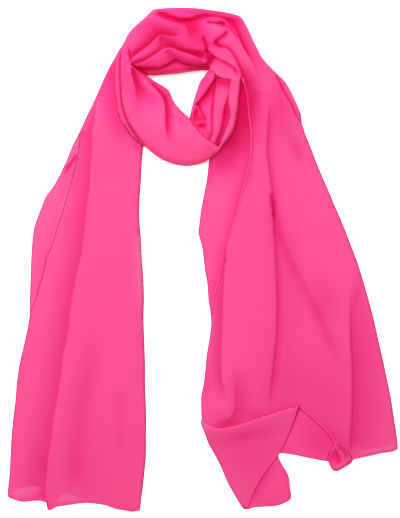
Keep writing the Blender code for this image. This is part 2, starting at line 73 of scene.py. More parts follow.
MM = 0.001
CENTRE_X = 0.75
CENTRE_Y = -1.0
GAP = 0.25                  # between one stretch and what it lies on
LEAST = 0.5                 # thinnest that a stretch of one or two layers is drawn
LIFT = 0.1                  # of everything over the ground
TINY = 1e-9                 # keeps a division from a zero length
SAME = 0.2                  # share of a step: samples of a rim nearer than this are one
BLOCK = 400                 # points tested together against a rim
BODY = "root"
THIN_AND_SHADE = "thin"               # mesh attribute: how thin the cloth looks, low with painted shade


# ---------------------------------------------------------------- curves and heights in plan


def smooth(line: Line, step: float) -> np.ndarray:
    """A smooth curve through hand-placed points.

    Args:
        line: the points, in order.
        step: the most that two samples may lie apart.

    Returns:
        The samples, one row of x and y each.
    """
    points = np.asarray(line, float)
    if len(points) < 3:
        count = max(2, math.ceil(float(np.linalg.norm(points[-1] - points[0])) / step) + 1)
        return points[0] + np.linspace(0, 1, count)[:, None] * (points[-1] - points[0])
    chords = np.sqrt(np.linalg.norm(np.diff(points, axis=0), axis=1))
    knots = np.concatenate([[0.0], np.cumsum(chords)])
    slopes = np.gradient(points, knots, axis=0)
    made = []
    for k, span in enumerate(chords):
        rise = points[k + 1] - points[k]
        run = float(np.linalg.norm(rise))
        t = np.linspace(0, 1, max(1, math.ceil(run / step)) + 1)[:-1, None]
        start, end = slopes[k] * span, slopes[k + 1] * span
        made.append(
            points[k] + start * t + (3 * rise - 2 * start - end) * t**2
            + (start + end - 2 * rise) * t**3
        )
    return np.concatenate([*made, points[-1:]])


def closed_rim(runs: tuple[Line, ...], step: float) -> np.ndarray:
    """The closed rim made of smooth runs, with a corner where two runs meet.

    Args:
        runs: the runs, each starting where the one before it ends.
        step: the most that two samples may lie apart.

    Returns:
        The samples, without a repeated one.
    """
    samples = np.concatenate([smooth(run, step) for run in runs])
    ahead = np.roll(samples, -1, axis=0)
    return samples[np.linalg.norm(ahead - samples, axis=1) > step * SAME]


def left_of(run: np.ndarray) -> np.ndarray:
    """Unit steps to the left hand of each step of a path."""
    across = np.column_stack([-run[:, 1], run[:, 0]])
    return across / np.maximum(np.linalg.norm(across, axis=1), TINY)[:, None]


def gone_along(path: np.ndarray) -> np.ndarray:
    """Length of a path up to each of its samples."""
    return np.append(0.0, np.cumsum(np.linalg.norm(np.diff(path, axis=0), axis=1)))


def tree_of(places: np.ndarray) -> KDTree:
    """A search tree of places in plan.

    Args:
        places: rows of x and y.

    Returns:
        The tree, which finds a place by its row.
    """
    tree = KDTree(len(places))
    for k, (x, y) in enumerate(places):
        tree.insert((x, y, 0.0), k)
    tree.balance()
    return tree


def nearest_on(
    path: np.ndarray, closed: bool, xy: np.ndarray
) -> tuple[np.ndarray, np.ndarray, np.ndarray]:
    """Where points lie along and beside a path of close samples.

    Args:
        path: the samples.
        closed: whether the last sample joins the first.
        xy: the points.

    Returns:
        The offset of each point, positive on the path's left hand, the share of the path's
        length at its nearest place, and that place.
    """
    if closed:
        path = np.concatenate([path, path[:1]])
    start, run = path[:-1], np.diff(path, axis=0)
    length = np.maximum(np.linalg.norm(run, axis=1), TINY)
    gone = np.concatenate([[0.0], np.cumsum(length)])
    tree = tree_of(start + run / 2)
    found = np.fromiter((tree.find((x, y, 0.0))[1] for x, y in xy), int, len(xy))
    best = np.full(len(xy), np.inf)
    offset, share, place = np.zeros(len(xy)), np.zeros(len(xy)), np.zeros((len(xy), 2))
    for step in (0, -1, 1):
        k = (found + step) % len(run) if closed else np.clip(found + step, 0, len(run) - 1)
        t = np.clip(((xy - start[k]) * run[k]).sum(1) / length[k] ** 2, 0, 1)
        spot = start[k] + t[:, None] * run[k]
        away = xy - spot
        far = np.linalg.norm(away, axis=1)
        side = np.where(run[k, 0] * away[:, 1] - run[k, 1] * away[:, 0] < 0, -1.0, 1.0)
        closer = far < best - 1e-12
        best[closer] = far[closer]
        offset[closer] = (side * far)[closer]
        share[closer] = ((gone[k] + t * length[k]) / gone[-1])[closer]
        place[closer] = spot[closer]
    return offset, share, place


def inside(rim: np.ndarray, xy: np.ndarray) -> np.ndarray:
    """True for each point that a closed rim goes round.

    Args:
        rim: the rim's samples.
        xy: the points.

    Returns:
        One truth for each point.
    """
    ahead = np.roll(rim, -1, axis=0)
    low, high = np.minimum(rim[:, 1], ahead[:, 1]), np.maximum(rim[:, 1], ahead[:, 1])
    result = np.zeros(len(xy), bool)
    for block in np.array_split(np.argsort(xy[:, 1]), len(xy) // BLOCK + 1):
        x, y = xy[block, :1], xy[block, 1:]
        near = (high >= y.min()) & (low <= y.max()) if len(block) else low < high
        a, b = rim[near], ahead[near]
        spans = (a[:, 1] > y) != (b[:, 1] > y)
        rise = b[:, 1] - a[:, 1]
        crossing = a[:, 0] + (y - a[:, 1]) * (b[:, 0] - a[:, 0]) / np.where(rise == 0, 1, rise)
        result[block] = ((spans & (x < crossing)).sum(1) % 2) == 1
    return result


def within(rims: list[np.ndarray], xy: np.ndarray) -> np.ndarray:
    """True for each point that the first rim goes round and no other rim, each a hole, does.

    Args:
        rims: the outline, then its holes.
        xy: the points.

    Returns:
        One truth for each point.
    """
    result = inside(rims[0], xy)
    for hole in rims[1:]:
        result &= ~inside(hole, xy)
    return result


def spaced(points: np.ndarray, gap: float) -> np.ndarray:
    """The points without those nearer than gap to one kept before.

    Args:
        points: the points, the most wanted first.
        gap: size of the cells that hold one each.

    Returns:
        The points kept.
    """
    cells: set[tuple[int, int]] = set()
    kept = []
    for point in points:
        cell = (round(point[0] / gap), round(point[1] / gap))
        if cell not in cells:
            cells.add(cell)
            kept.append(point)
    return np.array(kept).reshape(-1, 2)


def apart(guides: np.ndarray, points: np.ndarray, gap: np.ndarray) -> np.ndarray:
    """True for each point that lies further than its gap from every guide."""
    tree = tree_of(guides)
    return np.fromiter((tree.find((x, y, 0.0))[2] for x, y in points), float, len(points)) > gap


def eased(share: np.ndarray) -> np.ndarray:
    """A soft step from 0 to 1."""
    t = np.clip(share, 0, 1)
    return t * t * (3 - 2 * t)


class Form(Enum):
    """How a crease is shaped across its line."""

    SOFT = "a rounded ridge or trough"
    SHARP = "a creased ridge or trough"
    LAP = "one layer lying over the next, high on the line's left hand"


@dataclass(frozen=True)
class Crease:
    """One ridge, trough or lapped edge, given by its line."""

    line: Line
    height: float           # at the line, negative for a trough
    left: float             # how far it reaches on the line's left hand
    right: float
    form: Form = Form.SOFT
    drop: float = 0.0       # painted shade on its low side, and layers gathered there; painted light below 0
    layers_and_shade: float = 0.0       # how much deeper its low side looks, as layers gather there
    spread: float = 0.0     # how far a lap's painted shade goes, where not as far as the lap
    grow: float = 0.3       # share of the line over which it starts
    fade: float = 0.3       # share of the line over which it ends

    STEP: ClassVar[float] = 1.0     # between samples of its line
    WALL: ClassVar[float] = 0.8     # half width of a lapped edge
    TIP: ClassVar[float] = 0.35     # half width of a sharp crease's rounded top
    REACH: ClassVar[float] = 4.5    # widths from the line at which nothing of it is left

    def guides(self) -> np.ndarray:
        """Places in plan that the mesh should have corners at, to draw the crease cleanly.

        Returns:
            Rows of x and y, none for a soft crease.
        """
        path = smooth(self.line, self.STEP)
        if self.form is Form.SOFT:
            return path[:0]
        if self.form is Form.SHARP:
            return path
        wall = self.WALL * left_of(np.gradient(path, axis=0))
        return np.concatenate([path + wall, path - wall])

    def add_to(self, xy: np.ndarray, height: np.ndarray, thin: np.ndarray) -> None:
        """Adds the crease at each point, to its height and to how thin the cloth looks there, with
        its painted shade.

        Args:
            xy: the points.
            height: height of the cloth at each, which is changed.
            thin: how thin it looks at each, painted shade included, which is changed.
        """
        path = smooth(self.line, self.STEP)
        reach = self.REACH * max(self.left, self.right, self.spread / 3)
        near = np.all((xy > path.min(0) - reach) & (xy < path.max(0) + reach), axis=1)
        if not near.any():
            return
        off, share, _ = nearest_on(path, False, xy[near])
        strength = np.ones(len(off))
        if self.grow > 0:
            strength *= eased(share / self.grow)
        if self.fade > 0:
            strength *= eased((1 - share) / self.fade)
        if self.form is Form.LAP:
            step = 0.5 + 0.5 * np.sin(np.clip(off / self.WALL, -1, 1) * math.pi / 2)
            high = self.height * np.exp(-((off / self.left) ** 2))
            low = -self.drop * np.clip(1 - np.abs(off) / self.right, 0, 1) ** 2
            added = step * high + (1 - step) * low
            deeper = (1 - step) * np.clip(1 - np.abs(off) / (self.spread or self.right), 0, 1)
        else:
            width = np.where(off > 0, self.left, self.right)
            deeper = (
                np.exp(-((off / width) ** 2)) if self.form is Form.SOFT
                else np.exp(-(np.sqrt(off**2 + self.TIP**2) - self.TIP) / width)
            )
            added = self.height * deeper
        height[near] += added * strength
        # paints the crease's shade, or its light where the value is below 0
        thin[near] *= 1 - self.layers_and_shade * deeper * strength


@dataclass(frozen=True)
class Dent:
    """A round or long hollow, or a swelling."""

    x: float
    y: float
    height: float
    along: float            # half length
    across: float           # half width
    turn: float = 0.0       # degrees from +x to its length
    layers_and_shade: float = 0.0       # painted shade, and layers gathered there; painted light below 0

    def guides(self) -> np.ndarray:
        """A soft form needs no corners of its own."""
        return np.zeros((0, 2))

    def add_to(self, xy: np.ndarray, height: np.ndarray, thin: np.ndarray) -> None:
        """Adds it at each point, to its height and to how thin the cloth looks there, with its
        painted shade.

        Args:
            xy: the points.
            height: height of the cloth at each, which is changed.
            thin: how thin it looks at each, painted shade included, which is changed.
        """
        angle = math.radians(self.turn)
        dx, dy = xy[:, 0] - self.x, xy[:, 1] - self.y
        u = (dx * math.cos(angle) + dy * math.sin(angle)) / self.along
        v = (dy * math.cos(angle) - dx * math.sin(angle)) / self.across
        profile = np.exp(-(u**2 + v**2))
        height += self.height * profile
        # paints its shade, or its light where the value is below 0; a dent of no height is only
        # this paint
        thin *= 1 - self.layers_and_shade * profile


Folds = tuple[Crease | Dent, ...]


class SpotHeights:
    """The smoothest surface through a few spot heights."""

    EASE = 40.0             # how far it may pass beside a spot, to stay smooth

    def __init__(self, spots: Spots) -> None:
        """Fits the surface to rows of x, y and height.

        Args:
            spots: the rows.
        """
        rows = np.asarray(spots, float)
        self.places = rows[:, :2]
        count = len(rows)
        flat = np.column_stack([np.ones(count), self.places])
        system = np.zeros((count + 3, count + 3))
        system[:count, :count] = self._bend(self.places) + self.EASE * np.eye(count)
        system[:count, count:] = flat
        system[count:, :count] = flat.T
        solved = np.linalg.solve(system, np.concatenate([rows[:, 2], np.zeros(3)]))
        self.weights, self.plane = solved[:count], solved[count:]

    def _bend(self, xy: np.ndarray) -> np.ndarray:
        """Thin-plate terms of points against the spots."""
        squared = ((xy[:, None] - self.places[None]) ** 2).sum(2)
        return 0.5 * squared * np.log(squared + TINY)

    def at(self, xy: np.ndarray) -> np.ndarray:
        """Height at each point."""
        return self.plane[0] + xy @ self.plane[1:] + self._bend(xy) @ self.weights


class Bed:
    """What lies on the ground so far, as a map of heights that the next stretch is laid on."""

    CELL = 2.0
    LOW = np.array([-246.0, -316.0])
    COUNT = (247, 317)
    BARE = -1.0             # marks a cell where nothing lies

    def __init__(self) -> None:
        """Starts with the bare ground."""
        columns, rows = self.COUNT
        self.height = np.full((rows, columns), self.BARE)
        grid = np.meshgrid(np.arange(columns), np.arange(rows))
        self.xy = np.stack([g.ravel() for g in grid], axis=1) * self.CELL + self.LOW

    def add(self, covered: np.ndarray, tops: np.ndarray) -> None:
        """Lays a stretch on it: which cells it covers, and its height in those."""
        flat = self.height.ravel()
        flat[covered] = np.maximum(flat[covered], tops)

    @staticmethod
    def _beside(grid: np.ndarray) -> list[np.ndarray]:
        """The map moved by one cell each way."""
        wide = np.pad(grid, 1, mode="edge")
        return [wide[1:-1, :-2], wide[1:-1, 2:], wide[:-2, 1:-1], wide[2:, 1:-1]]

    def under(self, reach: float) -> Underlay:
        """What a stretch would rest on that bridges steps nearer than reach.

        Args:
            reach: how near, in millimetres.

        Returns:
            The heights under it, evened out a little.
        """
        steps = max(1, round(reach / self.CELL))
        grown = self.height.copy()
        for _ in range(steps):
            grown = np.maximum.reduce([grown, *self._beside(grown)])
        grown = np.where(grown < 0, 0.0, grown + GAP)
        for _ in range(max(1, steps // 2)):
            grown = sum(self._beside(grown), 4 * grown) / 8
        return Underlay(grown)


@dataclass(frozen=True)
class Underlay:
    """Heights that a stretch rests on."""

    height: np.ndarray

    def at(self, xy: np.ndarray) -> np.ndarray:
        """Height at each point, between the map's cells.

        Args:
            xy: the points.

        Returns:
            One height for each.
        """
        place = np.clip((xy - Bed.LOW) / Bed.CELL, 0, np.array(Bed.COUNT) - 1.001)
        cell = place.astype(int)
        (c, r), (u, v) = cell.T, (place - cell).T
        h = self.height
        lower = h[r, c] * (1 - u) + h[r, c + 1] * u
        upper = h[r + 1, c] * (1 - u) + h[r + 1, c + 1] * u
        return lower * (1 - v) + upper * v


# ---------------------------------------------------------------- one stretch of cloth


@dataclass(frozen=True)
class Stretch:
    """A stretch of the cloth as it lies: a closed shell over what is below it."""

    name: str
    outline: tuple[Line, ...]
    spots: Spots
    creases: Folds = ()
    holes: tuple[tuple[Line, ...], ...] = ()
    rolls: Spots = ((0.0, 0.0, 1.0),)     # how far in from the rim its edge is rounded
    fine: float = 1.1                     # size of its facets near the loop
    coarse: float = 2.4                   # and elsewhere
    reach: float = 4.0                    # steps below it that are nearer than this are bridged
    layers_and_shade: float = 0.0                     # painted shade over all of it, with its layers; paler below 0
    layered: bool = False                 # whether its tall edges show the layers folded inside

    FINE_FROM: ClassVar[float] = 175.0    # y above which facets are fine
    BASE: ClassVar[tuple[float, float]] = (3.0, 5.0)    # size of the underside's facets
    ROW: ClassVar[float] = 0.866          # from one row of corners to the next, in facets
    GUIDE_CLEAR: ClassVar[float] = 0.7    # facets kept clear round a guide
    RIM_CLEAR: ClassVar[float] = 0.55     # and inside a rim
    RIM_STEP: ClassVar[float] = 0.7       # between a rim's corners, in facets
    GUIDE_GAP: ClassVar[tuple[float, float]] = (0.8, 0.5)   # between guides, and where layered
    LEAST_ROLL: ClassVar[float] = 0.3
    ROLL_EASE: ClassVar[float] = 4.0      # evens the roll out close to a given place
    TALL_ROLL: ClassVar[float] = 3.5      # an edge rounded by more than this shows its layers
    LAYER_EDGES: ClassVar[tuple[float, ...]] = (4.5, 8.5, 12.5, 16.5)   # heights of their gaps
    LAYER_GAP: ClassVar[float] = 0.8      # half width of a gap
    LAYER_ROOM: ClassVar[float] = 1.5     # least height over a gap
    LAYER_TOP: ClassVar[float] = 0.72     # share of the edge's height that shows layers
    LAYER_GAP_SHADE: ClassVar[float] = 0.3     # painted shade in a gap: how much deeper it looks
    LAYER_ROWS: ClassVar[tuple[float, float, float]] = (0.65, 4.5, 0.55)    # first, last, step
    WAVE: ClassVar[float] = 0.9           # how far a gap goes up and down
    WAVE_PACE: ClassVar[tuple[float, float]] = (0.047, 0.033)   # radians along x and y
    WAVE_SHIFT: ClassVar[float] = 2.1     # radians from one gap's wave to the next

    def roll_at(self, xy: np.ndarray) -> np.ndarray:
        """Width of the rounded edge at each point, between the nearest given places.

        Args:
            xy: the points.

        Returns:
            One width for each.
        """
        rows = np.asarray(self.rolls, float)
        weight = 1.0 / (((xy[:, None] - rows[None, :, :2]) ** 2).sum(2) + self.ROLL_EASE) ** 1.5
        return (weight * rows[:, 2]).sum(1) / weight.sum(1)

    def top(self, xy: np.ndarray, low: np.ndarray) -> tuple[np.ndarray, np.ndarray]:
        """The upper side over an underside at low.

        Args:
            xy: the points.
            low: height of the underside at each.

        Returns:
            Its height at each point, and how thin the cloth looks there: 0 in the deepest folds,
            1 over other layers, more where it is single; painted shade and painted light are in it.
        """
        height = SpotHeights(self.spots).at(xy)
        # the stretch's own painted shade, then that of its creases
        thin = np.full(len(xy), 1 - self.layers_and_shade)
        for crease in self.creases:
            crease.add_to(xy, height, thin)
        return np.maximum(height, low + LEAST), np.clip(thin, 0, 2)

    def _grid(
        self, rims: list[np.ndarray], sizes: tuple[float, float], guides: np.ndarray
    ) -> np.ndarray:
        """Points spread evenly inside the outline, clear of its rims, with the guides in place.

        Args:
            rims: the outline, then its holes.
            sizes: size of the facets near the loop, and elsewhere.
            guides: places that should have a corner.

        Returns:
            The points, without the rims' own.
        """
        low, high = rims[0].min(0), rims[0].max(0)
        spread = []
        for size, is_fine in zip(sizes, (True, False)):
            for k, y in enumerate(np.arange(low[1], high[1], size * self.ROW)):
                if (y > self.FINE_FROM) == is_fine:
                    xs = np.arange(low[0] + (k % 2) * size / 2, high[0], size)
                    spread.append(np.column_stack([xs, np.full(len(xs), y)]))
        points = np.concatenate(spread)
        points = points[within(rims, points)]
        if len(guides):
            points = points[apart(guides, points, self._size(points, sizes) * self.GUIDE_CLEAR)]
            points = np.concatenate([points, guides[within(rims, guides)]])
        return points[self._depth(rims, points)[0] > self._size(points, sizes) * self.RIM_CLEAR]

    def _size(self, points: np.ndarray, sizes: tuple[float, float]) -> np.ndarray:
        """Size of the facets at each point."""
        return np.where(points[:, 1] > self.FINE_FROM, *sizes)

    @staticmethod
    def _depth(rims: list[np.ndarray], xy: np.ndarray) -> tuple[np.ndarray, np.ndarray]:
        """Distance from the nearest rim, and the nearest place on it.

        Args:
            rims: the outline, then its holes.
            xy: the points.

        Returns:
            Both for each point.
        """
        depth = np.full(len(xy), np.inf)
        nearest = np.zeros_like(xy)
        for rim in rims:
            off, _, place = nearest_on(rim, True, xy)
            closer = np.abs(off) < depth
            depth = np.where(closer, np.abs(off), depth)
            nearest[closer] = place[closer]
        return depth, nearest

    def _mesh_in_plan(
        self, rims: list[np.ndarray], sizes: tuple[float, float], guides: np.ndarray
    ) -> tuple[np.ndarray, np.ndarray]:
        """Corners and triangles of an even mesh between the rims, with corners at the guides.

        Args:
            rims: the outline, then its holes.
            sizes: size of the facets near the loop, and elsewhere.
            guides: places that should have a corner.

        Returns:
            The corners in plan, and the triangles as numbers of corners.
        """
        edges, start = [], 0
        for rim in rims:
            ids = list(range(start, start + len(rim)))
            edges += list(zip(ids, ids[1:] + ids[:1]))
            start += len(rim)
        flat = [Vector(p) for p in np.concatenate([*rims, self._grid(rims, sizes, guides)])]
        made = delaunay_2d_cdt(flat, edges, [], 0, 1e-5, False)
        xy = np.array([tuple(v) for v in made[0]])
        triangles = np.array(made[2])
        return xy, triangles[within(rims, xy[triangles].mean(1))]

    def _guides(self, rim: np.ndarray) -> np.ndarray:
        """Places that the upper side should have corners at.

        Args:
            rim: the outline's samples.

        Returns:
            The places, a little apart.
        """
        places = [np.zeros((0, 2)), *(crease.guides() for crease in self.creases)]
        if self.layered:
            places.append(self._layer_rows(rim))
        return spaced(np.concatenate(places), self.GUIDE_GAP[self.layered])

    def build(self, bed: Bed) -> tuple[bpy.types.Object, Underlay]:
        """Makes the shell, and lays it on the bed.

        Args:
            bed: what lies there so far, which then has this stretch on it too.

        Returns:
            The new object, and what it rests on.
        """
        lay = bed.under(self.reach)
        outline_top = max(y for line in self.outline for _, y in line)
        step = self.fine if outline_top > self.FINE_FROM else self.coarse * self.RIM_STEP
        rims = [closed_rim(line, step) for line in (self.outline, *self.holes)]
        xy, upper = self._mesh_in_plan(rims, (self.fine, self.coarse), self._guides(rims[0]))
        depth, nearest = self._depth(rims, xy)
        roll = np.maximum(self.roll_at(xy), self.LEAST_ROLL)
        turn = np.clip(depth / roll, 0, 1) * math.pi / 2
        moved = np.where(depth < roll, roll * (1 - np.cos(turn)), depth)
        share = moved / np.maximum(depth, 1e-6)
        xy = np.where(depth[:, None] > 1e-4, nearest + (xy - nearest) * share[:, None], xy)
        low = lay.at(xy)
        height, thin = self.top(xy, low)
        top_points = np.column_stack([xy, low + (height - low) * np.sin(turn)])
        if self.layered:
            back = self._between_layers(top_points, height, nearest) * (depth < roll)
            away = xy - nearest
            inward = away / np.maximum(np.linalg.norm(away, axis=1), 0.1)[:, None]
            top_points[:, :2] += inward * back[:, None]
            # painted shade in the gaps between the layers
            thin *= 1 - self.LAYER_GAP_SHADE * back

        base_xy, lower = self._mesh_in_plan(rims, self.BASE, np.zeros((0, 2)))
        base_points = np.column_stack([base_xy, lay.at(base_xy)])
        points = np.concatenate([top_points, base_points])
        faces = np.concatenate([upper, lower[:, ::-1] + len(top_points)])
        made = object_from(self.name, points, faces, np.append(thin, np.ones(len(base_xy))))

        covered = within(rims, bed.xy)
        cells = bed.xy[covered]
        bed.add(covered, self.top(cells, lay.at(cells))[0])
        return made, lay

    def _between_layers(
        self, points: np.ndarray, height: np.ndarray, nearest: np.ndarray
    ) -> np.ndarray:
        """How far points of a tall edge lie back, between the layers that it shows there.

        Args:
            points: the edge's points, in plan and height.
            height: how high the stretch stands beside each.
            nearest: the nearest place on a rim.

        Returns:
            How far back each lies, 0 where no gap is near.
        """
        back = np.zeros(len(points))
        for level, at in enumerate(self.LAYER_EDGES):
            wave = np.sin(nearest @ self.WAVE_PACE + self.WAVE_SHIFT * level)
            there = np.exp(-(((points[:, 2] - at - self.WAVE * wave) / self.LAYER_GAP) ** 2))
            back += there * (at + self.LAYER_ROOM < self.LAYER_TOP * height)
        return back

    def _layer_rows(self, rim: np.ndarray) -> np.ndarray:
        """Places along a rim that the mesh should have corners at, to show its layers.

        Args:
            rim: the rim's samples.

        Returns:
            Rows of x and y.
        """
        tall = self.roll_at(rim) > self.TALL_ROLL
        across = left_of(np.roll(rim, -1, axis=0) - np.roll(rim, 1, axis=0))[tall]
        return np.concatenate([
            rim[tall] + across * side * step
            for step in np.arange(*self.LAYER_ROWS) for side in (-1, 1)
        ])


def object_from(
    name: str, points: np.ndarray, faces: np.ndarray, thin: np.ndarray
) -> bpy.types.Object:
    """A smooth closed object.

    Args:
        name: what to call it.
        points: its corners, in plan and height.
        faces: triangles that face outwards, as numbers of corners.
        thin: how thin the cloth looks at each corner, painted shade included.

    Returns:
        The new object, in the scene.
    """
    mesh = bpy.data.meshes.new(name)
    placed = (points - (CENTRE_X, CENTRE_Y, -LIFT)) * MM
    mesh.from_pydata([tuple(p) for p in placed], [], [tuple(int(k) for k in f) for f in faces])
    mesh.attributes.new(THIN_AND_SHADE, "FLOAT", "POINT").data.foreach_set("value", thin)
    bm = bmesh.new()
    bm.from_mesh(mesh)
    bmesh.ops.remove_doubles(bm, verts=bm.verts, dist=1e-7)
    bm.to_mesh(mesh)
    bm.free()
    mesh.shade_smooth()
    made = bpy.data.objects.new(name, mesh)
    bpy.context.scene.collection.objects.link(made)
    return made


# ---------------------------------------------------------------- hems


@dataclass(frozen=True)
class Hem:
    """A narrow rolled hem with its stitches, along the edge of a stretch."""

    name: str
    line: Line                      # its outer line
    node: str                       # the CAD node it takes the place of
    panel_on_left: bool = True
    width: float = 2.6
    stitch: float = 1.7             # length of one stitch
    pitch: float = 2.6              # from one stitch to the next

    STEP: ClassVar[float] = 1.2     # between sections of the roll
    STITCH_STEP: ClassVar[float] = 0.2      # between samples for the stitches
    RISE: ClassVar[float] = 0.35    # how far it stands over the panel
    THICK: ClassVar[float] = 1.9
    LEAST_THIN: ClassVar[float] = 0.25      # the panel's painted shade on a roll goes no deeper than this
    SECTION: ClassVar[Line] = (
        (0.06, 0), (-0.06, 0.5), (0.12, 0.9), (0.45, 1), (0.85, 0.93), (1.15, 0.72), (1.1, 0),
    )                               # share of the width from the outer line, share of the height
    STITCH_ROW: ClassVar[tuple[float, float]] = (0.74, 0.97)        # the same for the stitches
    PUCKERS: ClassVar[Spots] = ((0.06, 1.45, 0), (0.05, 2.3, 1))    # height, pace and start of each
    THREAD: ClassVar[tuple[float, float]] = (0.22, 0.2)     # half a stitch's width and height
    STITCH_FACES: ClassVar[Spots] = (
        (4, 2, 0), (4, 1, 2), (4, 3, 1), (4, 0, 3), (5, 0, 2), (5, 2, 1), (5, 1, 3), (5, 3, 0),
    )

    def _place(
        self, path: np.ndarray, share: float, level: float, panel: Stretch, lay: Underlay
    ) -> np.ndarray:
        """Points of one line of the hem over the panel's edge, and the panel's painted shade there.

        Args:
            path: samples of the hem's outer line.
            share: how far in the line lies, in widths.
            level: how high it lies, in the roll's heights.
            panel: the stretch whose edge it is.
            lay: what that stretch rests on.

        Returns:
            A row of x, y, z and thinness, which holds the painted shade, for each sample.
        """
        inward = left_of(np.gradient(path, axis=0)) * (1 if self.panel_on_left else -1)
        xy = path + inward * share * self.width
        low = lay.at(xy)
        high, thin = panel.top(xy, low)
        high += self.RISE
        base = np.maximum(low + 0.05, high - self.THICK)
        gone = gone_along(path)
        pucker = sum((tall * np.sin(gone * pace + start) for tall, pace, start in self.PUCKERS), 1)
        height = base + (high - base) * level * pucker
        return np.column_stack([xy, height, np.clip(thin, self.LEAST_THIN, 1)])

    def build(self, panel: Stretch, lay: Underlay) -> bpy.types.Object:
        """Makes the roll and its stitches.

        Args:
            panel: the stretch whose edge it is.
            lay: what that stretch rests on.

        Returns:
            The new object, whose second material is for the stitches.
        """
        path = smooth(self.line, self.STEP)
        rows = np.stack(
            [self._place(path, share, level, panel, lay) for share, level in self.SECTION], axis=1
        )
        count, sides = rows.shape[:2]
        corners = np.arange(count * sides).reshape(count, sides)
        a, b = corners[:-1], corners[1:]
        c, d = np.roll(b, -1, axis=1), np.roll(a, -1, axis=1)
        faces = [np.stack(face, axis=2).reshape(-1, 3) for face in ((a, b, c), (a, c, d))]
        fan = np.array([(0, k, k + 1) for k in range(1, sides - 1)])
        solid = np.concatenate([*faces, corners[0][fan], corners[-1][fan[:, ::-1]]])
        if not self.panel_on_left:
            solid = solid[:, ::-1]
        roll = rows.reshape(-1, 4)
        thread_points, thread_faces = self._stitches(panel, lay)
        made = object_from(
            self.name, np.concatenate([roll[:, :3], thread_points]),
            np.concatenate([solid, thread_faces + len(roll)]),
            np.append(roll[:, 3], np.ones(len(thread_points))),
        )
        kinds = np.append(np.zeros(len(solid), int), np.ones(len(thread_faces), int))
        made.data.polygons.foreach_set("material_index", kinds)
        return made

    def _stitches(self, panel: Stretch, lay: Underlay) -> tuple[np.ndarray, np.ndarray]:
        """Corners and triangles of the row of stitches on the roll's inner side.

        Args:
            panel: the stretch whose edge it is.
            lay: what that stretch rests on.

        Returns:
            The corners, and the triangles as numbers of corners.
        """
        path = smooth(self.line, self.STITCH_STEP)
        gone = gone_along(path)
        row = self._place(path, *self.STITCH_ROW, panel, lay)
        middles = np.arange(self.pitch, gone[-1] - self.pitch, self.pitch)
        spots, ends = (
            np.column_stack([np.interp(at, gone, row[:, k]) for k in range(3)])
            for at in (middles, middles + 0.1)
        )
        along = (ends - spots) / np.linalg.norm(ends - spots, axis=1)[:, None]
        wide, tall = self.THREAD
        lengthways = along * self.stitch / 2
        aside = np.cross(along, (0.0, 0.0, 1.0)) * wide
        up = (0.0, 0.0, tall)
        corners = np.stack([
            spots - lengthways, spots + lengthways, spots - aside, spots + aside,
            spots + up, spots - up,
        ], axis=1)
        faces = np.array(self.STITCH_FACES) + 6 * np.arange(len(spots))[:, None, None]
        return corners.reshape(-1, 3), faces.reshape(-1, 3)


# ---------------------------------------------------------------- finishes


def linear(colour: str) -> tuple[float, float, float, float]:
    """Linear RGBA of an sRGB hex colour such as "ff5697".

    Args:
        colour: six hex digits.

    Returns:
        Red, green, blue and an alpha of 1.
    """
    channels = [int(colour[k:k + 2], 16) / 255 for k in (0, 2, 4)]
    channels = [c / 12.92 if c <= 0.04045 else ((c + 0.055) / 1.055) ** 2.4 for c in channels]
    return (*channels, 1.0)


def add_node(
    tree: bpy.types.NodeTree, kind: str, inputs: dict[str | int, Any], output: str | int = 0,
    **settings: Any,
) -> Socket | None:
    """Adds a node with its settings and links.

    Args:
        tree: the material's nodes.
        kind: Blender's name for the node, without ShaderNode.
        inputs: a value, or another node's output, for each of its inputs.
        output: the name or number of the output that is wanted.
        settings: its own properties.

    Returns:
        That output, if the node has any.
    """
    made = tree.nodes.new("ShaderNode" + kind)
    for name, value in settings.items():
        setattr(made, name, value)
    for socket, value in inputs.items():
        if isinstance(value, Socket):
            tree.links.new(value, made.inputs[socket])
        else:
            made.inputs[socket].default_value = value
    return made.outputs[output] if made.outputs else None


def new_material(name: str) -> tuple[bpy.types.Material, AddNode]:
    """Starts a material without nodes.

    Args:
        name: what to call it.

    Returns:
        The material, and add_node for its own tree.
    """
    made = bpy.data.materials.new(name)
    made.use_nodes = True
    made.node_tree.nodes.clear()
    return made, partial(add_node, made.node_tree)


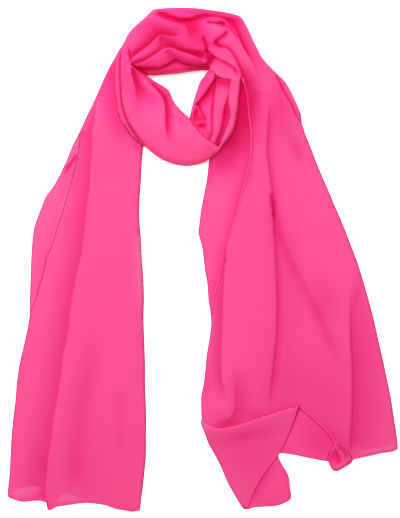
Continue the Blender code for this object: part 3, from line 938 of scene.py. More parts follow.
@dataclass(frozen=True)
class Chiffon:
    """Plain-woven chiffon: fine crepe yarns a little apart, so it is matt, soft and sheer."""

    name: str = "chiffon"
    colour: str = "ea5ca0"          # one layer over others, in full light
    shade: str = "dc3f8e"           # painted shade half way in, with a second layer close under it
    deep_layers_and_shade: str = "bd0651"            # painted shade in the deepest folds, with several layers that light has gone through
    pale: str = "dc7cae"            # a single layer over the white ground
    thread_mm: float = 0.9          # real yarns lie 0.25 mm apart: drawn coarser, so they show
    cloud_mm: float = 1000 / 22     # from one paler patch of the dye to the next
    fold_mm: float = 12.0           # how narrow a fold has to be to get painted shade
    depth: float = 0.98
    sheer: float = 0.12             # light that passes between the yarns, each time
    passing: str = "ffe3ee"         # and its colour
    glow: float = 0.38              # light that comes through the yarns
    inner: str = "850418"           # painted glow for light scattered among the layers
    roughness: float = 0.7
    sheen: float = 0.03
    weave_bump: float = 0.12
    weave_m: float = 0.0002         # height of the yarns
    single: float = 1.6             # how fast the colour turns to painted shade where the cloth looks less thin
    mottle: tuple[float, float] = (0.97, 1.03)      # least and most light, patch by patch
    yarns: tuple[float, float] = (0.985, 1.02)      # the same between and on the yarns

    def make(self) -> bpy.types.Material:
        """Makes the material.

        Returns:
            The material.
        """
        made, add = new_material(self.name)
        place = add("TexCoord", {}, "Object")
        bands = [
            add("TexWave", {
                "Vector": place, "Scale": math.tau / (self.thread_mm * MM * 20.0),
                "Distortion": 0.6, "Detail": 1.0, "Detail Scale": 2.0,
            }, "Fac", wave_type="BANDS", bands_direction=direction)
            for direction in ("X", "Y")
        ]
        weave = add("Math", {0: bands[0], 1: bands[1]}, operation="MULTIPLY")
        colour, depth_and_shade_share = self._colour(add, place, weave)
        bump = add("Bump", {
            "Strength": self.weave_bump, "Distance": self.weave_m, "Height": weave,
        }, "Normal")
        cloth = add("BsdfPrincipled", {
            "Base Color": colour, "Roughness": self.roughness, "IOR": 1.45,
            "Specular IOR Level": 0.08, "Sheen Weight": self.sheen, "Sheen Roughness": 0.45,
            "Sheen Tint": linear("ffd0e0"), "Normal": bump,
            # the cloth gives off a faint painted glow for light scattered among its layers
            "Emission Color": linear(self.inner), "Emission Strength": 1.0,
        })
        through = add("BsdfTranslucent", {"Color": colour, "Normal": bump})
        body = add("MixShader", {0: self.glow, 1: cloth, 2: through})
        clear = add("BsdfTransparent", {"Color": linear(self.passing)})
        see_through = add("MapRange", {"Value": depth_and_shade_share, "To Min": self.sheer, "To Max": 0.0})
        surface = add("MixShader", {0: see_through, 1: body, 2: clear})
        add("OutputMaterial", {"Surface": surface})
        return made

    def _colour(self, add: AddNode, place: Socket, weave: Socket) -> tuple[Socket, Socket]:
        """The dye, a little uneven and with painted shade in folds, and how deep it is.

        Args:
            add: add_node for the material's tree.
            place: where on the cloth a point lies.
            weave: height of the crossing yarns.

        Returns:
            The colour, and the share of depth and painted shade.
        """
        # ambient occlusion and the thin attribute paint the shade into folds
        open_share = add("AmbientOcclusion", {"Distance": self.fold_mm * MM}, "AO", samples=6)
        thin = add("Attribute", {}, "Fac", attribute_name=THIN_AND_SHADE)
        thinner = add("Math", {0: thin, 1: self.single}, operation="POWER")
        shown = add("Math", {0: open_share, 1: thinner}, operation="MULTIPLY")
        depth_and_shade_share = add("MapRange", {"Value": shown, "To Min": self.depth, "To Max": 0.0})
        dyed = linear(self.colour)
        # pale over the white ground, then painted shade, then the deep painted shade of folds
        for value, low, high, colour in (
            (thin, 1.0, 2.0, self.pale), (depth_and_shade_share, 0.0, 0.5, self.shade),
            (depth_and_shade_share, 0.5, self.depth, self.deep_layers_and_shade),
        ):
            part = add("MapRange", {"Value": value, "From Min": low, "From Max": high})
            dyed = add("Mix", {"Factor": part, 6: dyed, 7: linear(colour)}, 2, data_type="RGBA")
        cloudy = add("TexNoise", {
            "Vector": place, "Scale": 1 / (self.cloud_mm * MM), "Detail": 3.0,
        }, "Fac")
        mottle, yarns = (
            add("MapRange", {"Value": value, "To Min": least, "To Max": most})
            for value, (least, most) in ((cloudy, self.mottle), (weave, self.yarns))
        )
        shade = add("Math", {0: mottle, 1: yarns}, operation="MULTIPLY")
        return add("VectorMath", {0: dyed, "Scale": shade}, operation="SCALE"), depth_and_shade_share


@dataclass(frozen=True)
class RolledHem(Chiffon):
    """The same chiffon rolled on itself: denser, with the roll's slanting twist."""

    name: str = "rolled_chiffon_hem"
    colour: str = "d84890"
    thread_mm: float = 1.5
    sheer: float = 0.04
    glow: float = 0.25
    sheen: float = 0.06


@dataclass(frozen=True)
class SewingThread:
    """Fine dyed polyester thread, a little glossier than the cloth."""

    name: str = "sewing_thread"
    colour: str = "dc3480"
    ply_mm: float = 0.5             # real thread is 0.15 mm thick: drawn coarser, so it shows
    ply_bump: float = 0.3
    ply_m: float = 0.0001           # height of the plies
    plies: tuple[float, float] = (0.8, 1.1)         # least and most light, between and on them

    def make(self) -> bpy.types.Material:
        """Makes the material.

        Returns:
            The material.
        """
        made, add = new_material(self.name)
        twist = add("TexWave", {
            "Vector": add("TexCoord", {}, "Object"), "Distortion": 0.4,
            "Scale": math.tau / (self.ply_mm * MM * 20.0),
        }, "Fac", wave_type="BANDS", bands_direction="DIAGONAL")
        least, most = self.plies
        shade = add("MapRange", {"Value": twist, "To Min": least, "To Max": most})
        dyed = {0: linear(self.colour)[:3], "Scale": shade}
        bump = add("Bump", {
            "Strength": self.ply_bump, "Distance": self.ply_m, "Height": twist,
        }, "Normal")
        add("OutputMaterial", {"Surface": add("BsdfPrincipled", {
            "Base Color": add("VectorMath", dyed, operation="SCALE"), "Roughness": 0.5,
            "IOR": 1.5, "Specular IOR Level": 0.4, "Normal": bump,
        })})
        return made


# ---------------------------------------------------------------- the stretches of the scarf


@dataclass(frozen=True)
class Finishes:
    """The materials of the scarf."""

    cloth: bpy.types.Material
    hem: bpy.types.Material
    thread: bpy.types.Material


@dataclass
class SubAssembly:
    """Stretches that belong together, laid in order on what lies there already."""

    bed: Bed
    finishes: Finishes

    def lay(
        self, stretch: Stretch, nodes: tuple[str, ...], flat: tuple[float, float],
        on: tuple[str, ...], hems: tuple[Hem, ...] = (), area: float | None = None,
        held: str = "laid",
    ) -> None:
        """Builds a stretch with its hems, dresses it, and puts it in the place of its CAD nodes.

        Args:
            stretch: the stretch.
            nodes: the CAD nodes it takes the place of.
            flat: not used.
            on: not used.
            hems: the hems that show along its edges.
            area: not used.
            held: not used.
        """
        made, lay = stretch.build(self.bed)
        self._dress(made, nodes, "chiffon", self.finishes.cloth)
        edges = [hem.build(stretch, lay) for hem in hems]
        for edge, hem in zip(edges, hems):
            self._dress(edge, (hem.node,), "chiffon_hem", self.finishes.hem, self.finishes.thread)

    @staticmethod
    def _dress(
        made: bpy.types.Object, nodes: tuple[str, ...], slot: str, *looks: bpy.types.Material
    ) -> None:
        """Gives a piece its materials and its place in the frame, and says what was made.

        Args:
            made: the piece.
            nodes: the CAD nodes it takes the place of.
            slot: not used.
            looks: its materials, in order.
        """
        for look in looks:
            made.data.materials.append(look)
        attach(made, BODY)
        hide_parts(*nodes)
        surface = sum(p.area for p in made.data.polygons)
        triangles = sum(len(p.vertices) - 2 for p in made.data.polygons)
        LOG.info("%s: %d triangles, %.4f m2 each side", made.name, triangles, surface / 2)


@dataclass
class LeftTail(SubAssembly):
    """The left tail: an under layer, and the front panel with its pleats over it."""

    silhouette: Line = (
        (-98.5, 252.5), (-113.5, 225), (-124.7, 200), (-131.4, 185), (-138.8, 170), (-147, 152),
        (-155.5, 135), (-162.5, 118), (-171, 100), (-179, 86), (-187, 75), (-193, 61), (-199, 45),
        (-202, 34), (-204, 16), (-205, 0), (-206, -30), (-207, -52), (-207, -70), (-210, -87),
        (-214, -105), (-219, -127), (-222, -147), (-224, -171), (-227, -196), (-229, -220),
        (-230, -242), (-231, -260), (-233, -279), (-233, -285), (-231, -287),
    )
    inner: Line = (
        (-74, -301.5), (-73, -290), (-71, -275), (-69, -257), (-67.2, -235), (-67, -211),
        (-67, -184), (-68, -156), (-68.2, -129), (-69, -102), (-70, -74), (-69.5, -48),
        (-70.2, -25), (-72, 0), (-73, 22), (-74.8, 44), (-74.8, 68), (-73, 95), (-72, 115),
        (-70, 137), (-66, 165), (-62, 190), (-64, 215),
    )
    top: Line = ((-64, 215), (-70, 240), (-84, 257), (-98.5, 252.5))
    pleat: Line = (
        (-147, 152), (-148, 135), (-150, 121), (-152, 115), (-155, 101), (-159, 86), (-163, 73),
        (-168, 56), (-173, 41), (-177, 26), (-182, 12), (-187, 1), (-190, -14), (-195, -31),
        (-199, -45), (-204, -58), (-207, -70),
    )
    before_pleat: Line = silhouette[:silhouette.index(pleat[0]) + 1]
    past_pleat: Line = silhouette[silhouette.index(pleat[-1]):]
    fold: Line = (
        (-111, 220), (-119, 203), (-126, 185), (-130, 160), (-132, 147), (-132, 127), (-134, 108),
        (-135, 85), (-138, 63), (-140, 46), (-142, 26), (-145, 4), (-149, -13), (-152, -28),
        (-155, -46), (-159, -69), (-160, -82), (-163, -100), (-167, -118), (-169, -138),
        (-172, -158), (-176, -180), (-179, -198), (-181, -217), (-184, -235), (-186, -249),
        (-187, -266), (-188, -280), (-187, -293),
    )
    side_hem: Line = (
        (-231, -287), (-224, -289.5), (-215, -291.5), (-202, -290.5), (-194, -290.5),
        (-187, -292.5),
    )
    front_hem: Line = (
        (-186, -299), (-184, -301.5), (-180, -300.5), (-176, -298), (-164, -296), (-151, -294),
        (-137, -293), (-126, -294), (-115, -296), (-104, -300), (-93, -302), (-84, -303.5),
        (-77, -302.5), (-74, -301.5),
    )
    under_hem: Line = (
        (-229, -277), (-215, -275), (-204, -273), (-190, -278), (-180, -284), (-172, -287),
        (-164, -283), (-155, -284), (-140, -288), (-120, -289), (-100, -291), (-80, -292),
    )
    # the pleats and soft folds of the front panel, with their painted shade and light
    panel_folds: Folds = (
        Crease(fold, 1.2, 26, 20, Form.LAP, drop=2.6, layers_and_shade=0.36, spread=30, grow=0.12, fade=0),
        Crease(pleat[:12], 0, 1.5, 1.5, layers_and_shade=-0.35, grow=0.1, fade=0.2),
        Dent(-196, -255, 0, 16, 45, layers_and_shade=0.18),
        # the loop's shadow on the tail, painted
        Crease(((-104.5, 240), (-107, 215), (-106.5, 195), (-104, 180), (-101, 168), (-95, 157),
                (-84, 146), (-72, 134)), 0, 13, 13, layers_and_shade=0.42, grow=0.1),
        Crease(((-128, -60), (-129, -98), (-133, -129), (-138, -156), (-143, -184), (-147, -211),
                (-150, -235), (-151, -257), (-152, -285)), -1.6, 10, 14, layers_and_shade=0.24, grow=0.55,
               fade=0.12),
        Dent(-143, -252, 0, 24, 40, -8, layers_and_shade=0.14),
        Crease(((-97, -150), (-97, -200), (-97, -250)), -0.7, 6, 6, layers_and_shade=0.1),
        Crease(((-100, 120), (-98, 60), (-97, 0), (-96, -80)), 1.2, 14, 16),
        Crease(((-150, 122), (-160, 109), (-168, 100), (-176, 88)), -1.4, 4, 5, layers_and_shade=0.25, grow=0.1,
               fade=0.6),
        Crease(((-190, 40), (-197, 0), (-200, -30), (-206, -66)), -0.5, 5, 5, layers_and_shade=0.1),
        Crease(((-233, -284), (-224, -278.5), (-214, -275), (-205, -273.5), (-196, -274),
                (-187, -276.5)), 0, 2, 3, Form.LAP, layers_and_shade=-1, spread=15, fade=0.35),
        Crease(((-178, -296), (-171, -287), (-164, -282), (-156, -284), (-148, -287.5),
                (-136, -292)), 0, 2, 3, Form.LAP, layers_and_shade=-1, spread=12, grow=0.35, fade=0.5),
        # painted shade, a little darker towards the bottom
        Dent(-100, -200, 0, 60, 200, layers_and_shade=0.06),
    )

    under: Stretch = Stretch(
        "left_tail_under_layer",
        outline=(
            silhouette[5:18],
            ((-207, -72), (-208, -87), (-211, -105), (-216, -127), (-219, -147), (-221, -171),
             (-224, -196), (-226, -220), (-227, -242), (-228, -260), (-229, -273)),
            under_hem,
            ((-79, -286), (-75, -257), (-73, -211), (-74, -156), (-76, -74), (-76, -25), (-80, 22),
             (-81, 68), (-78, 115), (-76, 140)),
            ((-76, 140), (-110, 150), (-147, 152)),
        ),
        spots=((-150, 100, 1.2), (-200, 0, 1.2), (-90, 0, 1.2), (-150, -280, 1)),
        creases=(
            # painted shade beside the pleat that lies over it, and a paler line along its edge
            Crease(pleat[6:], 0, 12, 12, layers_and_shade=0.32),
            Crease(pleat[5:11], 0, 1.5, 1.5, layers_and_shade=-0.35, grow=0.1, fade=0.2),
            Crease(((-150.5, 128), (-151.5, 123.5), (-154, 118.5), (-157.5, 114), (-160.5, 109.5),
                    (-163, 104.5), (-165.5, 99), (-168, 92)), 0, 2.4, 2.6, layers_and_shade=0.85, grow=0.15,
                   fade=0.5),
            Dent(-158, 100, 0, 12, 5, 65, layers_and_shade=0.3), Dent(-166, 80, 0, 14, 5, 68, layers_and_shade=0.26),
            Dent(-154, -289, 0, 8, 4, layers_and_shade=0.3), Dent(-192, -283.5, 0, 7, 4, layers_and_shade=-0.25),
        ),
        rolls=((-150, 0, 0.8),), reach=2, layers_and_shade=-0.38,
    )
    panel: Stretch = Stretch(
        "left_tail_panel",
        outline=(
            before_pleat, pleat, past_pleat, side_hem, front_hem, inner,
            top,
        ),
        spots=(
            (-100, 245, 10), (-84, 225, 9), (-70, 200, 8), (-112, 215, 8), (-126, 188, 5.5),
            (-92, 165, 7), (-145, 150, 4), (-80, 130, 3.5), (-115, 120, 4.5), (-140, 120, 4.5),
            (-160, 60, 4.2), (-115, 60, 4.2), (-82, 60, 3.2), (-190, -40, 3.6), (-115, -40, 4),
            (-80, -40, 3), (-214, -150, 2.6), (-150, -150, 4), (-110, -150, 3.6), (-78, -150, 2.6),
            (-228, -270, 1.6), (-160, -270, 2.8), (-85, -280, 1.8), (-160, -292, 1.4),
            (-149, 128, 2.2), (-153, 112, 1.9), (-159, 90, 1.8), (-165, 68, 1.7), (-173, 42, 1.7),
            (-182, 12, 1.7), (-190, -14, 1.8), (-198, -42, 1.9),
        ),
        creases=(
            *panel_folds,
            Crease(((-76, 30), (-75.5, 0), (-75.4, -30), (-75, -64)), 0, 4, 4, layers_and_shade=-0.7, grow=0.1,
                   fade=0.5),
            Crease(((-124, 193), (-131, 178), (-138, 163), (-144, 150)), 0, 5, 5, layers_and_shade=-0.28,
                   grow=0.2, fade=0.2),
            Dent(-78, 134, 0, 7, 4, -50, layers_and_shade=0.35),
        ),
        rolls=(
            (-150, 0, 1.4), (-75, 0, 2.2), (-150, -295, 0.8), (-110, 230, 2), (-155, 101, 0.4),
            (-170, 50, 0.4), (-185, 4, 0.4), (-198, -42, 0.5),
        ),
    )

    def build(self) -> None:
        """Lays the under layer, then the front panel with its folds."""
        self.lay(self.under, ("left_tail_side",), (0.14, 0.43), ("ground",), area=0.052)
        self.lay(
            self.panel, ("left_tail_front",), (0.16, 0.57), ("left_tail_under_layer",),
            area=0.072,
            hems=(
                Hem("left_side_rolled_hem", self.side_hem, "left_side_hem"),
                Hem("left_front_rolled_hem", self.front_hem, "left_front_hem"),
            ),
        )


@dataclass
class RightTail(SubAssembly):
    """The right tail's under layer, its turned-over corner and its tip."""

    left: Line = (
        (22, 150), (9, 119), (7.5, 110), (5.5, 93), (1.5, 73), (-1.5, 56), (-3.5, 40), (-4.5, 32),
        (-3.5, 27), (-0.5, 17), (1.5, 3), (3.5, -14), (6.5, -32), (7.5, -47), (10, -64), (13, -77),
        (11, -96), (8, -113), (6, -132), (4, -149), (2, -166), (2, -182), (3, -195), (6, -206),
        (10, -220),
    )
    under_end: Line = (
        (8, -220), (40, -228), (70, -231), (93, -233), (109, -235), (128, -239), (150, -243),
        (165, -240), (180, -237), (201, -231), (214, -228), (233, -222),
    )
    right: Line = (
        (231, -222), (228, -199), (224, -170), (220, -145), (215, -120), (209, -96), (203, -72),
        (197, -48), (191, -24), (184, -2), (176, 18), (166, 42), (159, 60), (150, 80), (141, 98),
        (134, 115), (127, 133), (121, 149), (120, 161), (119, 172), (114, 185), (107, 200),
        (100, 212), (90, 222), (81, 231),
    )
    top: Line = ((81, 231), (70, 236), (55, 225), (46, 214), (36, 200), (30, 180), (22, 150))
    tip_hem: Line = (
        (56, -300.5), (62, -298.5), (75, -297.5), (89, -296.5), (100, -292.5), (105.5, -289),
        (107, -285), (105.5, -275), (104.5, -264), (101.5, -256), (96, -247), (92, -239),
        (91, -234),
    )
    flap_hem: Line = (
        (55, -299.5), (62, -281), (71, -264), (81, -250), (88, -241), (94, -231), (101, -218),
        (107, -203), (112, -189), (115, -180), (116.5, -178.5),
    )

    under: Stretch = Stretch(
        "right_tail_under_layer", outline=(left, under_end, right, top),
        spots=(
            (85, 228, 7), (50, 215, 11), (100, 210, 6), (118, 170, 4.5), (44, 190, 11),
            (42, 165, 9), (30, 140, 7.5), (16, 124, 5), (60, 165, 4), (35, 110, 2.6),
            (10, 100, 1.8), (130, 120, 2), (10, 50, 1.5), (150, 50, 1.5), (80, 60, 1.5),
            (20, -60, 1.4), (190, -60, 1.4), (100, -150, 1.4), (10, -200, 1.2), (220, -200, 1.2),
            (120, -235, 1.2),
        ),
        creases=(
            # painted shade: the loop's shadow on this layer, and darker strips beside the edges
            # over it
            Crease(((30, 118), (24, 90), (18, 60), (14, 20)), 0.5, 10, 10),
            Dent(20, 115, 0, 24, 17, layers_and_shade=0.48), Dent(9, 96, 0, 10, 3, 80, layers_and_shade=0.28),
            Dent(50.4, 201, 0, 9, 2.5, 80, layers_and_shade=0.4), Dent(104, -229, 0, 8, 4, layers_and_shade=0.25),
            Crease(((8, 114), (18, 122), (28, 133), (38, 147), (43, 162), (46, 180), (48, 196),
                    (50, 214)), 0, 18, 24, layers_and_shade=0.84, grow=0.35, fade=0),
            Dent(48, 200, 0, 10, 20, layers_and_shade=0.85), Dent(140, -212, 0, 40, 24, -25, layers_and_shade=0.34),
            Dent(142, -228, 0, 18, 14, -10, layers_and_shade=0.2),
            Crease(((12, -60), (20, -19), (28, 14), (38, 46), (49, 86), (57, 115)), 0, 10, 10,
                   layers_and_shade=0.25, grow=0.1, fade=0.2),
            Crease(((87, 222), (90, 216), (93.5, 209.5), (97.5, 201.5), (101.5, 194.5),
                    (106, 186.5), (109.5, 179), (113.5, 172), (117.5, 165.5)), 0, 2.2, 2.2,
                   layers_and_shade=0.7, grow=0.1),
        ),
        rolls=((10, 50, 1.2), (110, 200, 2.5), (120, -235, 0.7)), layers_and_shade=-0.05,
    )
    tip: Stretch = Stretch(
        "tail_tip_layer",
        outline=(
            ((3, -206), (8, -220), (15, -233), (23, -248), (31, -267), (41, -285), (49, -298),
             (51, -300.5), (56, -300.5)),
            tip_hem,
            ((91, -234), (60, -225), (30, -215), (3, -206)),
        ),
        spots=((30, -215, 2), (60, -260, 1.3), (90, -240, 1.3), (100, -280, 1), (55, -295, 1)),
        creases=(
            # painted shade beside the flap's hem over it
            Crease(((55, -298), (63, -280), (75, -258), (88, -238)), 0, 7, 7, layers_and_shade=0.35),
        ),
        rolls=((60, -260, 0.8),), layers_and_shade=0.08,
    )
    flap: Stretch = Stretch(
        "tail_flap_layer",
        outline=(
            ((-1.5, -192), (-1, -199), (2, -206), (7, -220), (14, -233), (22, -248), (30, -267),
             (40, -285), (48, -298), (51, -300.5), (55, -299.5)),
            flap_hem,
            ((116.5, -178.5), (107, -178), (96, -181), (81, -186), (65, -191), (50, -196),
             (37, -200), (21, -202.5), (8, -199), (-1.5, -192)),
        ),
        spots=(
            (0, -197, 5), (8, -201, 6), (20, -205, 7.5), (50, -199, 8), (80, -190, 8),
            (112, -181, 6), (20, -220, 4.5), (55, -215, 5), (90, -205, 4.8), (30, -240, 3.2),
            (70, -235, 3.4), (50, -270, 2.4), (54, -295, 1.9), (105, -200, 4),
        ),
        creases=(
            # a paler line along the fold's edge, and painted shade on the flap
            Crease(((-2, -194), (4, -200), (11, -203)), 0, 3, 3, layers_and_shade=-0.5, grow=0.1),
            Dent(52, -214, -0.6, 40, 7, 12, layers_and_shade=0.25), Dent(60, -235, 0, 30, 30, 20, layers_and_shade=0.16),
            Dent(60, -225, 0, 60, 50, layers_and_shade=0.08), Dent(6, -198, 0, 7, 4, layers_and_shade=-0.25),
        ),
        rolls=((20, -205, 3), (80, -188, 3), (100, -218, 0.9), (60, -285, 0.8), (20, -245, 1)),
        reach=3,
    )
    curl: Stretch = Stretch(
        "corner_curl",
        outline=(
            ((160.5, -221.5), (165.8, -225.6), (171, -228.6), (178, -235), (181, -240.5)),
            ((181, -240.5), (179.5, -244.6), (172, -249.6), (167, -252.6), (162, -255), (157, -254),
             (154, -250), (152, -245), (150, -241)),
            ((150, -241), (151, -235), (154, -228), (160.5, -221.5)),
        ),
        spots=(
            (152, -236, 1.9), (155, -229, 2.2), (159, -224, 3.4), (154, -246, 3.8),
            (159, -250, 4.8), (162, -252, 4.4), (163, -240, 2.8), (161, -232, 3),
            (165, -232.6, 5.4), (170, -237, 5.8), (175, -243, 5.2), (168, -241, 4.8),
            (167, -248, 4.8), (172, -246, 4.8),
        ),
        creases=(
            # painted light on its ridges, painted shade in its troughs
            Crease(((158.2, -221.5), (160.7, -227), (165.2, -232.6), (169.8, -236.9),
                    (174.4, -243)), 0.8, 1.8, 1.5, Form.SHARP, layers_and_shade=-0.12, grow=0.05),
            Crease(((160.3, -228), (161.3, -232.6), (163.7, -239.9), (164.9, -246)), -1.4, 1.4, 2.6,
                   Form.SHARP, layers_and_shade=0.75, grow=0.2, fade=0.1),
            Crease(((153.5, -246), (159, -250.6), (162, -251.9), (166.8, -249), (172.2, -246.6),
                    (175.9, -244.8)), 0.8, 1.8, 1.8, layers_and_shade=-0.15),
            Crease(((163, -225.5), (168.2, -230.2), (172.6, -235.3), (176, -239.5)), -1.5, 1.6, 1.4,
                   layers_and_shade=0.8, grow=0.1, fade=0.2),
            Dent(155, -238, 0, 7, 10, layers_and_shade=0.5), Dent(160.5, -224.5, 0, 4, 4, layers_and_shade=0.4),
        ),
        rolls=((152, -238, 0.4), (165, -250, 2.4), (170, -234, 1.4)), reach=2, layers_and_shade=0.1,
    )

    def build(self) -> None:
        """Lays the under layer and the tip."""
        self.lay(
            self.under, ("right_tail_under",), (0.23, 0.46), ("ground",), area=0.075,
            hems=(Hem("under_rolled_hem", self.under_end[3:7], "under_hem"),),
        )
        self.lay(
            self.tip, ("tail_tip",), (0.08, 0.08), ("ground",), area=0.0055,
            hems=(Hem("tip_rolled_hem", self.tip_hem, "tip_hem"),),
        )

    def build_flap(self) -> None:
        """Lays the corner of the tail that is turned over, and the curl beside it."""
        self.lay(
            self.flap, ("tail_flap",), (0.09, 0.13), ("tail_tip_layer", "wound_stretch"),
            area=0.007, hems=(Hem("flap_rolled_hem", self.flap_hem, "flap_hem"),), held="folded",
        )
        self.lay(
            self.curl, ("hem_curl",), (0.026, 0.028), ("right_tail_under_layer",), held="folded"
        )


@dataclass
class Loop(SubAssembly):
    """The wound loop: what shows inside it, and the long stretch that makes it and the tail."""

    # folds of the stretch that shows inside the loop, at its right, with painted shade and light
    inner_folds: Folds = (
        # the far layer under the ridges, in painted shade
        Dent(9, 200, -1.5, 14, 6, 62, layers_and_shade=0.75), Dent(9.5, 222.5, 0, 4, 3, layers_and_shade=0.5),
        Dent(3.5, 213, 0, 8, 4, 55, layers_and_shade=0.4), Dent(14.2, 201, 0, 4, 1.6, 80, layers_and_shade=0.5),
        Dent(14, 215.4, 0, 4, 2.5, 80, layers_and_shade=-0.35), Dent(1.5, 156.4, 0, 4.5, 3, layers_and_shade=0.75),
        Dent(7.5, 150, 0, 6, 4, -40, layers_and_shade=0.35), Dent(19, 137.6, 0, 3, 3, layers_and_shade=-0.4),
        Dent(3.6, 164, 0, 3, 2.5, layers_and_shade=0.5), Dent(-8, 165.4, 0, 3.5, 2.6, layers_and_shade=0.6),
        Dent(2, 190, 0, 8, 8, layers_and_shade=0.3), Dent(6, 178, 0, 7, 12, layers_and_shade=0.15),
        Dent(20, 178, 0, 5, 30, layers_and_shade=0.14),
        # left ridge, over the hollow in painted shade
        Crease(((-8, 184), (-5, 187), (0, 192.5), (4.2, 197.5), (7.2, 202), (10.7, 208), (18, 217)),
               1.4, 6, 8, Form.LAP, drop=5, layers_and_shade=0.72, spread=10, grow=0.02, fade=0),
        # thin ridge down to the second one
        Crease(((-5.5, 187.5), (-2.5, 181), (-0.5, 175), (2.5, 169), (4.5, 165)), -3, 1.8, 1.4,
               Form.SHARP, layers_and_shade=0.85, grow=0.05, fade=0.05),
        Crease(((-7, 184), (-5, 180), (-2, 174), (0.5, 169), (2.5, 165.5)), 2.2, 1.6, 1.3,
               Form.SHARP, layers_and_shade=-0.15, grow=0.1, fade=0.1),
        Crease(((-9.5, 162.5), (-4, 162.5), (2, 163.5), (7, 163)), 2.4, 1.8, 1.8, Form.SHARP,
               layers_and_shade=-0.05, grow=0.15, fade=0.2),
        Dent(-5, 167, -1.5, 4.5, 2.8, -10, layers_and_shade=0.8), Dent(-7.5, 173, -4.5, 7.5, 3.2, 75, layers_and_shade=1),
        Dent(-2, 168, -2, 4.5, 3, -40, layers_and_shade=0.7), Dent(-1, 159, -3.5, 6, 2.6, -5, layers_and_shade=1),
        # edges of the centre strip
        Crease(((18, 222), (16.5, 214), (15, 200), (14.5, 190), (13.8, 180), (13.2, 170),
                (13.4, 160), (13.4, 153), (12, 147), (10, 142)), 1.2, 7, 5, Form.LAP, drop=3.5,
               layers_and_shade=0.9, spread=4.5, grow=0.02, fade=0),
        Crease(((15, 137), (19, 146), (21.5, 152), (23.4, 160), (24.8, 168), (26, 176), (28, 184),
                (30, 191), (31.5, 200)), 1.2, 8, 6, Form.LAP, drop=4, layers_and_shade=0.95, spread=9,
               grow=0.02),
        Dent(28.6, 174.5, -2, 10.5, 3, 84, layers_and_shade=0.85),
        # the shelf's shadow, painted
        Crease(((12, 215), (22, 211.4), (34, 209)), 0, 5, 6, layers_and_shade=0.8, grow=0.1, fade=0.05),
        Crease(((18, 134), (23, 143), (28.5, 157), (33, 172), (32, 181)), 0, 2.2, 2.2, layers_and_shade=0.25,
               grow=0.1),
    )

    strip: Stretch = Stretch(
        "loop_strip_layer",
        outline=(
            ((-68, 284), (-77, 278), (-83, 272.5), (-89, 265), (-94.5, 257.5), (-98.7, 249),
             (-102.5, 238), (-104, 225), (-104.5, 212), (-104, 200), (-102, 188), (-101, 176),
             (-98, 166), (-93, 158), (-86, 148), (-78, 140), (-71, 134.5)),
            ((-71, 134.5), (-62, 136), (-70, 152), (-80, 172), (-85, 195), (-87, 220), (-86, 245),
             (-78, 265), (-68, 284)),
        ),
        spots=(
            (-72, 283, 14), (-94, 262, 14), (-100, 245, 13.5), (-101, 220, 14), (-100, 190, 12),
            (-92, 162, 9), (-76, 142, 7), (-85, 240, 14), (-84, 200, 13),
        ),
        creases=(
            # painted shade along the throat's edge over it
            Crease(((-97, 250), (-98, 236), (-98, 218), (-97.5, 203), (-96.5, 191), (-94, 178),
                    (-91, 168), (-86.5, 159), (-81.5, 151), (-70, 137)), 0, 1.3, 1.3, layers_and_shade=0.8,
                   grow=0.1, fade=0.1),
            Dent(-97, 244, 0, 7, 1.8, 80, layers_and_shade=0.35),
        ),
        rolls=((-95, 200, 2.4), (-80, 145, 2), (-90, 268, 3)), reach=6,
    )
    band_inside: Stretch = Stretch(
        "neck_band_inner",
        outline=(
            ((-84, 231), (-76, 225.5), (-66, 220)),
            ((-66, 219.5), (-60, 219.4), (-50, 220), (-40, 220.8), (-30, 221.6), (-20, 223.2),
             (-10, 224.7), (0, 225.5), (7, 225.5)),
            ((7, 225.5), (13, 232), (16, 244), (12, 258), (4, 262), (-6, 260), (-14, 252),
             (-30, 246), (-60, 244), (-84, 240), (-84, 231)),
        ),
        spots=(
            (-80, 230, 12), (-60, 226, 14), (-40, 228, 15.5), (-10, 230, 15.5), (5, 230, 13),
            (3, 255, 10), (-40, 240, 15),
        ),
        creases=(
            # this stretch lies in painted shade under the band, paler along its lower rim
            Crease(((-72, 226), (-60, 226.3), (-45, 227.5), (-30, 229), (-15, 229)), 1.2, 2, 2.5,
                   layers_and_shade=-0.1),
            Dent(-78, 227, 0, 9, 5, -30, layers_and_shade=0.4), Dent(-2, 230, 0, 20, 4, layers_and_shade=0.75),
            Crease(((-68, 219.6), (-60, 219.6), (-50, 220.2), (-40, 221), (-30, 221.8),
                    (-20, 223.4), (-14, 224.2)), 0, 3.6, 3.6, layers_and_shade=-1.1, grow=0.1, fade=0.1),
        ),
        rolls=((-40, 223, 6), (0, 226, 5), (-75, 226, 3)), reach=6, layers_and_shade=0.52,
    )
    inside_turn: Stretch = Stretch(
        "loop_inside",
        outline=(
            ((-17, 162), (-15.5, 168), (-13.5, 176), (-10.5, 188), (-6.5, 201), (-2.5, 212),
             (3.5, 220), (8, 226), (11, 231)),
            ((11, 231), (18, 236), (30, 232), (40, 224), (42, 214), (42, 196), (40, 178), (34, 160),
             (28, 148), (22, 138), (14, 134), (4, 136), (-8, 148), (-17, 162)),
        ),
        spots=(
            (-14, 170, 13.5), (-10, 188, 15), (-4, 205, 16), (6, 222, 16.5), (0, 190, 13),
            (4, 175, 13), (8, 200, 13.5), (20, 225, 16), (22, 205, 17), (20, 180, 16.5),
            (16, 155, 14.5), (12, 143, 12), (31, 190, 14.5), (30, 170, 13), (24, 152, 12),
            (37, 190, 14), (0, 160, 12),
        ),
        rolls=((-12, 180, 3), (0, 210, 3), (35, 180, 1)), creases=inner_folds, fine=0.9, reach=3,
    )

